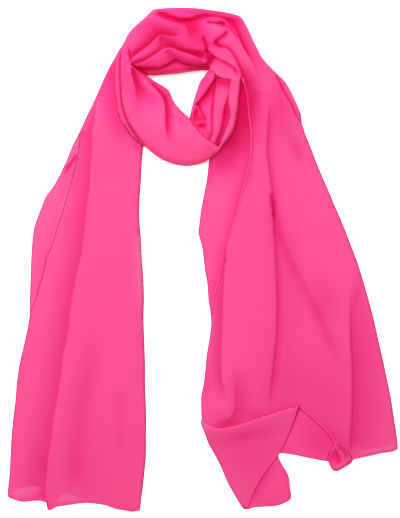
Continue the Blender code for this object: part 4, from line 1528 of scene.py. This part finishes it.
    # the long stretch's outline, clockwise from where its side hem meets the loop
    outer_left: Line = (
        (47.3, 215), (46, 209), (44.4, 195), (43.2, 181), (41.3, 166), (38.6, 155), (33.4, 145),
        (26.5, 136), (21.2, 128.5), (11.3, 121), (4, 116), (-5, 113), (-16, 111.2), (-28, 112),
        (-39, 115), (-50, 120), (-61, 128), (-70, 136.5), (-81, 151), (-86, 159), (-90.5, 168),
        (-93.5, 178), (-96, 191), (-97, 203), (-97.5, 218), (-97.4, 236), (-96, 247),
        (-94.2, 255.5), (-91, 264), (-86.4, 272), (-80.6, 278.3), (-74, 284.2), (-67.3, 290.6),
        (-62, 296), (-58, 299.3),
    )
    outer_top: Line = (
        (-58, 299.3), (-48, 300.2), (-26, 301.2), (-5, 300.3), (9, 298.4), (24, 296.3), (35, 294.1),
        (45, 291), (48.5, 288),
    )
    outer_right: Line = (
        (48.5, 288), (51, 284), (56, 274), (61, 263), (66, 253), (71, 243), (76, 236), (80.5, 231),
        (86, 223), (89.5, 216.5), (93, 210), (97, 202), (101, 195), (105.5, 187), (109, 179.5),
        (113, 172.5), (117, 166), (120.5, 159.5), (124, 149), (130.5, 133), (137, 116), (144, 99),
        (151.5, 82), (158.5, 65), (165.6, 49), (172.5, 32), (179, 15), (185.5, -2), (191, -19),
        (195.8, -35), (200.6, -52), (205, -69), (209, -86), (212.8, -103), (216.4, -119),
        (220, -136), (223.6, -153), (227, -170), (229.6, -187), (232, -203), (234.5, -220),
        (235, -228),
    )
    right_hem: Line = (
        (235, -228), (229, -231), (214, -233.5), (201, -236.5), (187, -239.5), (180, -241),
    )
    curl_side: Line = ((180, -241), (176, -237), (170, -230), (165, -226.5), (160, -224))
    raised_hem: Line = (
        (160, -224), (155, -216), (147, -206), (138, -197), (126, -187), (117, -179),
    )
    under_flap: Line = (
        (117, -179), (108, -184), (94, -190), (70, -198), (40, -206), (20, -209), (4, -206),
    )
    left_rim: Line = (
        (4, -206), (0, -195), (-1, -182), (-1, -166), (2, -149), (4, -132), (6, -113), (9, -96),
        (11, -77), (10, -65),
    )
    side_hem: Line = (
        (10, -65), (13, -47), (17, -31), (20, -19), (23, -6), (26, 5), (28, 14), (31, 25), (36, 40),
        (41, 56), (45, 71), (49, 86), (53, 100), (56, 115), (57.5, 130), (58, 143), (57.5, 155),
        (56, 168), (54.8, 182), (53.2, 196), (50.2, 207.5), (47.3, 215),
    )
    opening: tuple[Line, ...] = (
        ((20, 134.5), (14, 138), (8, 142), (-2, 152), (-9, 160), (-15, 168), (-21, 174), (-28, 181),
         (-34, 189), (-37, 196), (-40, 202), (-50, 209), (-58, 213.5), (-66, 218.6), (-74, 223.8),
         (-80, 228), (-84.5, 232.3)),
        ((-84.5, 232.3), (-80, 229.4), (-73, 227.6), (-60, 226.6), (-52, 226.8), (-48, 228.2),
         (-44, 230.2), (-40, 232.2), (-35.5, 234.8), (-31, 236.6), (-27, 235), (-22, 233),
         (-17, 231.8), (-10, 230.8), (-2, 230.4), (2, 231.2), (5.5, 233.2)),
        ((5.5, 233.2), (7.8, 230.6), (9, 227.4), (10.5, 223.3)),
        ((10.5, 223.3), (12.8, 223.4), (15.5, 221), (20, 217.2), (25, 215), (30, 213.8),
         (34, 213.3)),
        ((34, 213.3), (32.5, 203), (31.5, 190), (32, 183), (33, 172), (28.5, 157), (23, 143),
         (20, 134.5)),
    )
    # its spot heights
    spots: Spots = (
        # the throat
        (-80, 150, 17), (-60, 135, 16), (-20, 118, 13), (10, 126, 13), (-50, 150, 23),
        (-20, 140, 22), (5, 133, 18), (-30, 165, 23), (-75, 185, 24), (-60, 200, 25),
        (-45, 192, 23), (-25, 175, 20), (0, 150, 19), (14, 138, 17), (-92, 190, 21), (-92, 220, 24),
        (-66, 218, 23), (-60, 170, 24),
        # the turn and the neck band
        (-87, 232, 26), (-92, 245, 24), (-88, 262, 23), (-75, 273, 25), (-60, 284, 27),
        (-45, 281, 28), (-30, 278, 28), (-35, 297, 20), (-5, 297, 21), (30, 292, 20),
        (-58, 257, 25), (-38, 262, 25), (-18, 262, 25), (-60, 240, 23), (-35, 245, 23),
        (-10, 238, 23), (-6, 262, 24), (-20, 275, 28), (-9, 280, 19), (-3, 284, 20),
        # the shoulder
        (6, 276, 28), (20, 283, 28), (15, 270, 30), (35, 266, 31), (45, 258, 30), (25, 248, 28),
        (12, 251, 26), (40, 247, 29), (52, 243, 28), (48, 222, 22), (60, 228, 24), (56, 268, 19),
        (66, 248, 18), (62, 215, 20), (80, 224, 14), (54, 203, 17), (75, 200, 16), (98, 200, 10),
        # the right side of the loop
        (20, 230, 21), (30, 222, 20.5), (40, 212, 20), (38, 190, 20), (38, 172, 19), (32, 153, 17),
        (26, 142, 15), (12, 230, 18),
        # the tail
        (59, 170, 13.5), (80, 170, 11), (112, 172, 8), (58, 140, 12), (90, 140, 7.5), (124, 140, 5),
        (56, 110, 8.5), (90, 105, 5.5), (138, 105, 3.6), (47, 70, 5.5), (100, 60, 4.4),
        (155, 60, 3.2), (30, 20, 3.8), (60, 20, 5), (100, 0, 4), (180, 0, 2.8), (15, -60, 2.8),
        (55, -80, 4.5), (110, -80, 3.8), (165, -80, 4.2), (207, -80, 2.4), (3, -150, 2.6),
        (50, -150, 4), (110, -150, 3.4), (165, -150, 4), (221, -150, 2.2), (3, -199, 4.6),
        (9, -190, 5), (60, -200, 3.4), (115, -184, 3.2), (150, -212, 3.4), (172, -224, 3.2),
        (230, -222, 1.8), (200, -232, 2),
    )
    # folds that fan out from the pinch at the left of the opening, across the throat
    # with painted shade in its hollows and painted light on its crests
    throat: Folds = (
        Crease(((-75.5, 176), (-76.5, 186), (-78, 196), (-80.3, 207), (-83, 217.5), (-86, 230)), 1,
               5, 8, Form.LAP, drop=6, layers_and_shade=0.8, spread=13, grow=0.75, fade=0.12),
        Crease(((-66, 195.5), (-70, 200), (-74, 205), (-78, 211), (-81, 217)), 0, 3, 4, layers_and_shade=0.5,
               grow=0.35, fade=0.2),
        Dent(-79, 188, 0, 9, 15, layers_and_shade=0.26),
        Crease(((-83, 230), (-76, 220), (-68, 210), (-61, 201), (-54, 190)), 1.5, 3.5, 4, grow=0.1,
               fade=0.4),
        Dent(-71, 195, -2, 13, 8, -35, layers_and_shade=0.36), Dent(-80, 224.5, 0, 5, 4, layers_and_shade=-0.5),
        Dent(-57, 189, 0, 9, 7, 60, layers_and_shade=0.22), Dent(-37, 172, 0, 5, 2, -40, layers_and_shade=0.35),
        Dent(-23, 117, 0, 16, 4, layers_and_shade=-0.26), Dent(-10, 160, 0, 4, 2.5, -40, layers_and_shade=-0.5),
        Dent(-52.8, 204.6, 0, 4, 3, layers_and_shade=-0.35), Dent(-93, 228, 0, 20, 5, 88, layers_and_shade=0.2),
        Dent(-95.8, 206, 0, 10, 1.8, 85, layers_and_shade=0.35),
        Crease(((-38, 128), (-40.5, 140), (-42.3, 150), (-43.3, 160), (-43.4, 170), (-43.9, 180),
                (-45.5, 189), (-51.5, 198), (-60, 206.5), (-67, 214.5), (-74, 223.5)), 1.6, 9, 9,
               Form.LAP, drop=6, layers_and_shade=0.85, spread=11, grow=0.36),
        Crease(((-40, 150), (-41.5, 162), (-42, 172), (-43, 182), (-45.8, 191), (-50.8, 198)), 0,
               1.5, 3, Form.SHARP, layers_and_shade=0.35),
        Crease(((-38, 174), (-28, 166), (-18, 160), (-9, 155)), -1, 3, 3, layers_and_shade=0.15),
        Crease(((-40, 206), (-36, 195), (-28, 183), (-14, 169)), 0.8, 4, 3, layers_and_shade=-0.1),
        Crease(((-60, 172), (-58, 155), (-54, 138)), 1.2, 9, 9),
        Crease(((-85, 226), (-88, 208), (-89, 190)), -0.8, 4, 4, layers_and_shade=0.12),
    )
    second_pleat: Line = (
        (3, 238), (0, 238.8), (-5, 240.6), (-10, 242.4), (-15, 244.2), (-20, 245.8), (-25, 247.4),
        (-30, 249.2), (-35, 251.2), (-40, 252), (-44, 251.2), (-48, 249), (-53, 245.6),
        (-58, 242.4), (-63, 239), (-68.5, 236), (-75, 233.4), (-81, 232), (-85, 232),
    )
    # pleats behind the neck, one lying on the next, from the pinch to the shoulder
    # each pleat with painted shade in its hollow and painted light on its crest
    band: Folds = (
        # the rim behind the neck with its trough, and painted shade between the pleats
        Dent(-2, 296, 0, 52, 8, -2, layers_and_shade=0.45), Dent(18, 292, 0, 15, 3, -7, layers_and_shade=-0.4),
        Dent(42, 286.5, 0, 3.5, 2.5, -30, layers_and_shade=0.4), Dent(31, 288.6, 0, 5, 2.5, -20, layers_and_shade=-0.35),
        Dent(-87, 235, 0, 3.5, 2, 80, layers_and_shade=0.45), Dent(-78.5, 246.8, 0, 4, 2.2, 35, layers_and_shade=0.35),
        Dent(-1, 248.6, 0, 4, 2.5, -20, layers_and_shade=0.4), Dent(-53, 256.2, 0, 5, 4, 50, layers_and_shade=0.3),
        Dent(7, 253.5, 0, 4, 2, 75, layers_and_shade=0.4), Dent(-44, 255, 0, 40, 26, layers_and_shade=0.2),
        Crease(((-57, 296.5), (-50, 293), (-42, 289.2), (-34, 286), (-26, 284), (-18, 284),
                (-10, 285.6), (-3, 288), (3, 289), (10, 289), (16, 288.8), (22, 288.4)), -4.5, 3.2,
               4, layers_and_shade=0.88, grow=0.12),
        Crease(((-36, 286), (-27, 283.6), (-18, 283.6), (-9, 285.4), (-2, 288)), 0, 2, 2, layers_and_shade=0.6,
               grow=0.2, fade=0.2),
        Dent(-15, 280, -1.5, 9, 5.5, -40, layers_and_shade=0.5), Dent(-62, 284, 0, 11, 7, 35, layers_and_shade=0.14),
        Dent(-68, 265, 0, 17, 8, 45, layers_and_shade=0.2),
        # the bulge, with its crest along the trough and down to the post
        Crease(((-9, 260.5), (-12, 265), (-14.3, 270), (-16.8, 275), (-21, 279), (-29, 281.6),
                (-40, 284.6), (-50, 288), (-60, 291.5)), 1.8, 8, 10, Form.LAP, drop=6, layers_and_shade=0.6,
               spread=12, grow=0.35, fade=0.35),
        Dent(-29, 275, 0, 15, 9, 15, layers_and_shade=0.36), Dent(-57, 278, 0, 18, 9, 15, layers_and_shade=0.42),
        Dent(-9, 274, -3, 11, 6.5, 80, layers_and_shade=0.66), Dent(0, 268, 0, 11, 15, layers_and_shade=0.42),
        # first pleat
        Crease(((-20, 273), (-21.5, 269.2), (-26, 265.8), (-32, 265), (-40, 265.6), (-46, 266.6),
                (-51, 266.2), (-54.5, 263), (-59, 258.6), (-63.5, 254.2), (-68.5, 250.2),
                (-74, 246.4), (-79.5, 242.2), (-84.5, 237)), 1.5, 5, 13, Form.LAP, drop=6,
               layers_and_shade=0.62, spread=16, grow=0.38, fade=0.02),
        Crease(((-49.5, 252), (-50.2, 259), (-51.2, 266)), 0.4, 5, 12, Form.LAP, drop=2, layers_and_shade=0.52,
               spread=22, grow=0.1, fade=0.05),
        Dent(-37, 257, -2, 15, 5.5, -8, layers_and_shade=0.3), Dent(-14, 263, 0, 8, 8, layers_and_shade=0.15),
        Dent(-8, 258, 0, 12, 10, layers_and_shade=0.34),
        # second pleat
        Crease(second_pleat, 1.5, 8, 7, Form.LAP, drop=4, layers_and_shade=0.66, spread=8, grow=0.08,
               fade=0.02),
        Crease(second_pleat[:12], 0.5, 7, 11, Form.LAP, drop=3.5, layers_and_shade=0.78, spread=12, grow=0.08,
               fade=0.5),
        # the post at its right end
        Crease(((-2, 267), (-1.4, 262), (-0.6, 258), (0.2, 254.6), (1, 251.2), (1.8, 248.4),
                (2.6, 245.4), (3.2, 242.4), (3.2, 239.6), (2.2, 237.4)), 1.4, 1.8, 1.8, layers_and_shade=0.2,
               grow=0.2, fade=0.1),
        Dent(-4, 245.2, -1.5, 6.5, 2.4, -20, layers_and_shade=0.8),
        # from the second pleat down to the lower rim
        Crease(((-42, 249.4), (-38, 244), (-32, 237.5)), -2, 4, 6, layers_and_shade=0.4, grow=0.15, fade=0),
        Crease(((-84, 231.5), (-76, 228), (-60, 226.6), (-50, 227), (-45, 229.6), (-40, 232.2),
                (-33, 235.8), (-27, 235), (-20, 232.4), (-10, 230.8), (0, 230.8), (5, 233)), 0, 10,
               10, layers_and_shade=0.66, grow=0.05, fade=0.05),
        # the outer turn at the left
        Crease(((-87.5, 254), (-86, 249), (-84.8, 243), (-84.6, 238), (-85.2, 234)), 1, 7, 3.5,
               Form.LAP, drop=3, layers_and_shade=0.8, spread=3, fade=0.1),
    )
    # folds where the stretch comes over its own start at the right shoulder
    # with painted shade in its hollows and painted light on its crests
    cover: Folds = (
        # the ridge round the shoulder
        Crease(((74, 209), (70, 216.5), (66, 223.6), (61.6, 231.6), (57.4, 238.8), (53, 245.6),
                (49.6, 252), (47.2, 257.4), (44.6, 264), (42.2, 269.4), (39.8, 273.4), (36.6, 277),
                (33.4, 280.6), (30, 283.4), (26.4, 285.4), (22, 287), (16, 288), (9.6, 288.4),
                (3, 288), (-2, 286.4)), 2.2, 3.5, 9, Form.LAP, drop=7, layers_and_shade=0.6, spread=15,
               grow=0.45, fade=0.15),
        Crease(((62, 233), (54, 245.8), (50.2, 252.6), (45.4, 264), (43, 270), (40.8, 273.8),
                (37.4, 277.8), (34, 281.4), (30.6, 284), (26.4, 286.2), (20, 288)), 0, 1.6, 1.6,
               Form.SHARP, layers_and_shade=0.95, grow=0.35, fade=0.25),
        Dent(35.6, 280.6, -3, 8, 4.4, -48, layers_and_shade=0.75),
        Dent(36.5, 284, -1.5, 10, 3.6, -16, layers_and_shade=0.75),
        # the crease inside it, with its corner and the hole under the ridge
        Crease(((6.2, 283.8), (7.4, 282.4), (10, 282), (14, 281.2), (18, 280.8), (22, 280.4),
                (25, 278.8), (28, 277.4)), -2.2, 1.6, 1.4, Form.SHARP, layers_and_shade=1, grow=0.03,
               fade=0.15),
        Crease(((24, 279), (28, 277.4), (31.6, 275.6), (34.6, 273.8), (36.8, 271), (39, 268.2),
                (41.2, 265.4), (43.4, 261.6), (45.6, 257)), -1.4, 1.6, 1.3, Form.SHARP, layers_and_shade=0.72,
               grow=0.1),
        Dent(22.4, 280.7, -2.5, 4.8, 2.2, -6, layers_and_shade=1), Dent(25, 279.6, -1.5, 3, 2, -35, layers_and_shade=0.8),
        Crease(((7, 282.6), (4, 279.6), (1.4, 277.4), (-1.4, 274.6)), 0, 1.5, 1.2, layers_and_shade=0.22),
        # a painted highlight along the ridge's crest
        Crease(((69, 209.8), (65.4, 215.8), (62.4, 222), (59.4, 228.6), (56, 235), (52.6, 241.6),
                (49.6, 247.6), (47, 253), (44.4, 258.6)), 0.3, 2, 2.5, layers_and_shade=-0.2, grow=0.1,
               fade=0.1),
        # two short folds that meet, and painted shade beside them
        Crease(((32.5, 273), (29.6, 269.8), (26.4, 266.4), (22.4, 263.2), (19, 260.6),
                (17.2, 258.4), (16.6, 256.4)), -3.6, 2.4, 2.2, Form.SHARP, layers_and_shade=1, grow=0.25,
               fade=0),
        Crease(((50.8, 212), (49.3, 216.5), (48, 220.5), (47, 224), (45.3, 228.5), (43.2, 233.2),
                (41, 237.8), (38.3, 242.2), (35.8, 246), (33.5, 248.8), (31.2, 250.6), (28, 252),
                (24.5, 252.8), (21.4, 253.4), (18.6, 254.6), (16.8, 256.6)), -2.6, 1.3, 2.2,
               Form.SHARP, layers_and_shade=0.8, grow=0.1, fade=0),
        Crease(((56, 222), (51, 232), (46, 241)), 0.6, 7, 5, layers_and_shade=0.1),
        Dent(10.5, 256.5, 0, 7, 6, layers_and_shade=0.26), Dent(33, 218, 0, 6, 3, layers_and_shade=-0.2),
        Dent(38, 220, 0, 9, 4, -55, layers_and_shade=-0.25), Dent(-79, 237.5, 0, 4, 4, layers_and_shade=-0.3),
        Dent(54, 222, 0, 9, 7, -60, layers_and_shade=-0.14),
        Crease(((25, 252.4), (20.5, 253.6), (17, 256)), 0, 1.8, 1.8, Form.SHARP, layers_and_shade=0.7,
               grow=0.1),
        # the free edge over the shelf, and the shelf's left side
        Crease(((7.8, 248), (10, 245.8), (12.6, 243.6), (15, 241.6), (17.5, 240.2), (21, 238.4),
                (25, 236.8), (30, 234), (34.3, 231.4), (36.8, 229.8), (39.8, 227.4), (41.2, 225),
                (42.4, 222.6), (43.6, 220.2), (45.5, 216.5), (47, 213)), 0.8, 4, 6, Form.LAP,
               drop=4, layers_and_shade=0.72, spread=7, grow=0, fade=0.25),
        Crease(((16.5, 240.6), (13.2, 236.4), (10.8, 231.4), (9.6, 226)), 0.6, 3, 7, Form.LAP,
               drop=4, layers_and_shade=0.95, spread=8, grow=0.02, fade=0.05),
        Dent(9.5, 240.4, -1.5, 6.5, 4.5, -50, layers_and_shade=1),
        # the slot beside the post
        Crease(((-0.2, 269), (1.5, 266.4), (2.8, 264.2), (3.9, 262), (5, 259.6), (6, 257.2),
                (6.9, 254.6), (7.4, 251.6), (7.7, 248)), 0.6, 3, 3.6, Form.LAP, drop=4, layers_and_shade=0.95,
               spread=5, grow=0.35, fade=0),
        Crease(((-0.6, 267.4), (0.8, 264.2), (2, 261.4), (3.2, 258.4), (4.2, 255.6), (5.2, 252.4),
                (5.8, 249), (6, 245.6)), -1, 1.3, 1.3, layers_and_shade=0.85, fade=0),
        Dent(8, 236.4, -0.5, 4, 3.4, 80, layers_and_shade=0.85),
        # where the tail begins
        Crease(((60, 197), (69, 197), (79, 196)), -0.6, 4, 6, layers_and_shade=0.2, grow=0.2, fade=0.6),
        Crease(((60, 115), (60, 130), (60, 143), (59, 155), (57.5, 168), (55.5, 182), (53.5, 196),
                (51.5, 207), (49.8, 216), (47, 225), (44, 233)), 0.6, 1.5, 9, Form.LAP, drop=2,
               layers_and_shade=0.95, spread=21, grow=0.66, fade=0.19),
        Dent(94, 178, 0, 14, 36, layers_and_shade=0.3), Dent(61, 189, 0, 10, 10, layers_and_shade=0.2),
        Dent(30, 262, 0, 22, 20, layers_and_shade=0.06),
        # the loop's right side
        Dent(34, 209, -1, 4, 9, 20, layers_and_shade=0.2),
    )
    # pleats and soft folds down the right tail
    # with painted shade beside the pleats, and a paler hem crescent
    tail: Folds = (
        Crease(((35, 34), (29.5, 14), (28, 0), (27, -19), (26, -35), (25, -50), (24.5, -71),
                (24, -92), (23, -113), (23, -132), (24, -147), (27, -160), (31, -176)), 1.2, 20, 11,
               Form.LAP, drop=2.4, layers_and_shade=0.45, spread=15, grow=0.12, fade=0.15),
        Crease(((45, -130), (46, -155), (48, -176), (46, -194)), -1, 10, 12, layers_and_shade=0.14, grow=0.6,
               fade=0.2),
        Crease(((80, -192), (81.5, -166), (83, -149), (85, -132), (87, -113), (89, -96),
                (89.5, -77), (90, -54), (89.5, -36), (89, -19), (88, -3), (87.5, 14), (86, 32),
                (86, 49), (86, 63), (84, 78), (82, 93), (80, 110), (78, 124), (78, 139), (79, 155),
                (79.5, 170), (80, 190)), 1.2, 18, 12, Form.LAP, drop=2.2, layers_and_shade=0.42, spread=11,
               grow=0.15, fade=0.07),
        Crease(((92, -200), (100, -120), (104, -60), (100, 0), (96, 60), (90, 130)), 0, 45, 18,
               layers_and_shade=0.16, grow=0.02, fade=0.4),
        # painted shade, darker towards the lower right
        Dent(140, -175, 0, 55, 62, layers_and_shade=0.24),
        Crease(((11, -196), (16, -195), (21.5, -194), (31, -193), (35, -189.7), (38.4, -183.7),
                (39.4, -173.8), (39, -155), (37, -135), (35, -112)), 0.5, 7, 8, Form.LAP, drop=0.8,
               layers_and_shade=0.42, spread=20, fade=0.7),
        Dent(30, -199, -0.6, 18, 5, 12, layers_and_shade=0.45),
        Crease(((-2, -194), (4, -199), (11, -202)), 0, 2, 2, layers_and_shade=-0.5, grow=0.1),
        Crease(((184, -232), (200, -229.5), (215, -227), (232, -222)), 0, 1.5, 2, Form.LAP,
               layers_and_shade=-0.75, spread=9, fade=0.1),
        Crease(((88, 58), (92, 40), (98, 20), (103, 6), (110, -9), (119, -26), (128, -45),
                (137, -62), (147, -84), (155, -100), (163, -118)), -1.4, 4, 8, layers_and_shade=0.3, grow=0.12,
               fade=0.7),
        Crease(((177, -238), (178, -216), (179, -193), (180, -168), (180, -140), (179, -111),
                (178, -83), (178, -60), (179, -40), (181, -20)), 1.4, 14, 30, Form.LAP, drop=1.8,
               layers_and_shade=0.42, spread=40, grow=0.1, fade=0.35),
        Dent(28, -193, -0.6, 18, 9, 8, layers_and_shade=0.16), Dent(140, -66, 0, 18, 7, -62, layers_and_shade=0.28),
        Dent(6, -148, 0, 18, 5, 88, layers_and_shade=0.22),
        Crease(((81.6, 84), (82.6, 76), (83.6, 69), (84.6, 62), (85.6, 52), (86, 42)), 0, 1.8, 1.8,
               Form.SHARP, layers_and_shade=0.95),
        Crease(((59.6, 152), (60, 144), (59.8, 130), (58.5, 116), (56.5, 106)), 0, 2, 3, layers_and_shade=0.35,
               grow=0.2),
        Dent(186, -43, 0, 20, 5, 80, layers_and_shade=0.28), Dent(57, 103, 0, 16, 4, 80, layers_and_shade=0.28),
        Dent(113, 132, 0, 18, 6, -68, layers_and_shade=0.26), Dent(152, -96, 0, 22, 7, -62, layers_and_shade=0.26),
        Dent(59, -186, 0, 14, 6, 10, layers_and_shade=0.26), Dent(145, -45, 0, 34, 20, -60, layers_and_shade=0.2),
        Dent(118, -194, 0, 12, 8, -30, layers_and_shade=0.2),
        Crease(((28.2, 14), (27.6, 4), (27.2, -8)), 0, 1.5, 1.5, Form.SHARP, layers_and_shade=0.4),
        Dent(150, -212, 0, 22, 10, -45, layers_and_shade=0.25), Dent(167, -217, 0, 16, 12, -20, layers_and_shade=0.2),
        Crease(((100, -40), (112, -90), (120, -150)), 0.6, 18, 18),
    )

    wound: Stretch = Stretch(
        "wound_stretch",
        outline=(
            outer_left, outer_top, outer_right, right_hem, curl_side, raised_hem, under_flap,
            left_rim, side_hem,
        ),
        holes=(opening,), creases=(*throat, *band, *cover, *tail),
        rolls=(
            (-20, 114, 8), (15, 124, 5), (-60, 130, 6), (-80, 150, 3.5), (-96, 190, 3),
            (-97, 230, 3), (-90, 265, 4), (-70, 285, 5), (-30, 300, 6), (20, 296, 6), (47, 288, 5),
            (60, 265, 6), (76, 236, 4), (95, 210, 2), (118, 165, 1.6), (150, 90, 1.6),
            (190, -20, 1.6), (220, -140, 1.4), (234, -225, 0.8), (200, -236, 0.8), (170, -230, 1),
            (140, -200, 0.9), (60, -200, 1), (0, -190, 1.4), (5, -120, 1.4), (12, -60, 1),
            (30, 20, 0.9), (50, 90, 1.2), (60, 150, 1.4), (55, 200, 1.5), (44, 200, 5),
            (42, 170, 5), (30, 143, 5), (20, 136, 1.5), (0, 152, 2.5), (-25, 178, 4), (-40, 202, 4),
            (-66, 220, 2), (-84, 232, 0.6), (-60, 228, 3), (-36, 234, 2), (-18, 232, 3),
            (2, 233, 2.5), (8, 229, 2), (20, 217, 2.5), (32, 200, 2), (33, 172, 2), (24, 146, 1.5),
        ),
        spots=spots, coarse=2.2, layered=True,
    )

    def build_inner(self) -> None:
        """Lays the stretches that the loop lies on."""
        self.lay(
            self.strip, ("loop_strip",), (0.04, 0.17), ("left_tail_panel",), area=0.0034,
            held="folded",
        )
        self.lay(
            self.band_inside, ("neck_band_under",), (0.05, 0.1), ("ground",), area=0.0032,
            held="folded",
        )
        self.lay(
            self.inside_turn, ("inner_turn",), (0.07, 0.11), ("right_tail_under_layer",),
            area=0.0057, held="folded",
        )

    def build_wrap(self) -> None:
        """Lays the long stretch: throat, left turn, neck band, shoulder and the tail's top."""
        self.lay(
            self.wound, ("throat_loop", "neck_band", "shoulder_cover", "right_tail_front"),
            (0.36, 0.93), ("loop_strip_layer", "neck_band_inner", "loop_inside",
                           "right_tail_under_layer", "left_tail_panel"),
            area=0.102, held="folded",
            hems=(
                Hem("side_rolled_hem", self.side_hem, "side_hem", panel_on_left=False),
                Hem("raised_rolled_hem", self.raised_hem, "raised_hem", panel_on_left=False),
                Hem("right_rolled_hem", self.right_hem, "right_hem", panel_on_left=False),
            ),
        )


# ---------------------------------------------------------------- studio


@dataclass(frozen=True)
class Studio:
    """A white floor, a broad soft light from the neck's side, and the camera straight above."""

    height_mm: float = 5000.0               # far off, with a long lens, so heights don't lean
    frame_mm: float = 518 * 1.2             # the length that the picture's long side takes in
    centre: tuple[float, float] = (-2.4, -0.6)      # what the camera looks down on, in plan
    sensor_mm: float = 36.0
    floor_m: float = 6.0                    # half the floor's side
    paper: str = "f4f4f4"
    paper_glow: float = 0.4
    sky: float = 0.4                        # even white light from all round
    lamp_at: tuple[float, float, float] = (-0.5, 1.3, 1.9)
    lamp_m: float = 1.6
    watts: float = 90.0

    def build(self) -> None:
        """Sets the floor, the light and the camera."""
        scene = bpy.context.scene
        self._floor()
        self._world(scene)
        self._light()
        self._camera(scene)
        scene.view_settings.view_transform = "Standard"
        scene.cycles.transparent_max_bounces = 32
        scene.cycles.max_bounces = 12
        scene.cycles.diffuse_bounces = 6

    @staticmethod
    def _placed(name: str, data: bpy.types.ID) -> bpy.types.Object:
        """A new object in the scene.

        Args:
            name: what to call it.
            data: its mesh, lamp or camera.

        Returns:
            The object.
        """
        made = bpy.data.objects.new(name, data)
        bpy.context.scene.collection.objects.link(made)
        return made

    def _floor(self) -> None:
        """A white ground."""
        mesh = bpy.data.meshes.new("floor")
        corners = [(x * self.floor_m, y * self.floor_m, 0)
                   for x, y in ((-1, -1), (1, -1), (1, 1), (-1, 1))]
        mesh.from_pydata(corners, [], [(0, 1, 2, 3)])
        paper = bpy.data.materials.new("matt_white_paper")
        paper.use_nodes = True
        shader = paper.node_tree.nodes["Principled BSDF"]
        for name, value in (
            ("Base Color", linear(self.paper)), ("Roughness", 0.9),
            ("Emission Color", (1, 1, 1, 1)), ("Emission Strength", self.paper_glow),
        ):
            shader.inputs[name].default_value = value
        mesh.materials.append(paper)
        self._placed("floor", mesh)

    def _world(self, scene: bpy.types.Scene) -> None:
        """Even white light from all round.

        Args:
            scene: the scene.
        """
        world = bpy.data.worlds.new("studio_white")
        world.use_nodes = True
        back = world.node_tree.nodes["Background"]
        back.inputs["Color"].default_value = (1, 1, 1, 1)
        back.inputs["Strength"].default_value = self.sky
        scene.world = world

    def _light(self) -> None:
        """A square soft box, aimed at the frame's origin."""
        lamp = bpy.data.lights.new("soft_box", "AREA")
        lamp.shape = "RECTANGLE"
        lamp.size = lamp.size_y = self.lamp_m
        lamp.energy = self.watts
        made = self._placed("soft_box", lamp)
        made.location = self.lamp_at
        made.rotation_euler = (-Vector(self.lamp_at)).to_track_quat("-Z", "Y").to_euler()

    def _camera(self, scene: bpy.types.Scene) -> None:
        """Looks straight down; the lens takes in frame_mm at the ground.

        Args:
            scene: the scene.
        """
        data = bpy.data.cameras.new("camera")
        data.sensor_width = self.sensor_mm
        data.lens = self.height_mm * data.sensor_width / self.frame_mm
        data.clip_start, data.clip_end = 0.1, 20.0
        made = self._placed("camera", data)
        x = (self.centre[0] - CENTRE_X) * MM
        y = (self.centre[1] - CENTRE_Y) * MM
        made.location = (x, y, self.height_mm * MM)
        scene.camera = made


def main() -> None:
    """Builds the scarf from the ground up, then the studio, and notes the sizes."""
    logging.basicConfig(level=logging.INFO, format="%(message)s")
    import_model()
    bed = Bed()
    finishes = Finishes(Chiffon().make(), RolledHem().make(), SewingThread().make())
    left = LeftTail(bed, finishes)
    right = RightTail(bed, finishes)
    loop = Loop(bed, finishes)
    left.build()
    right.build()
    loop.build_inner()
    loop.build_wrap()
    right.build_flap()
    Studio().build()


if __name__ == "__main__":
    main()
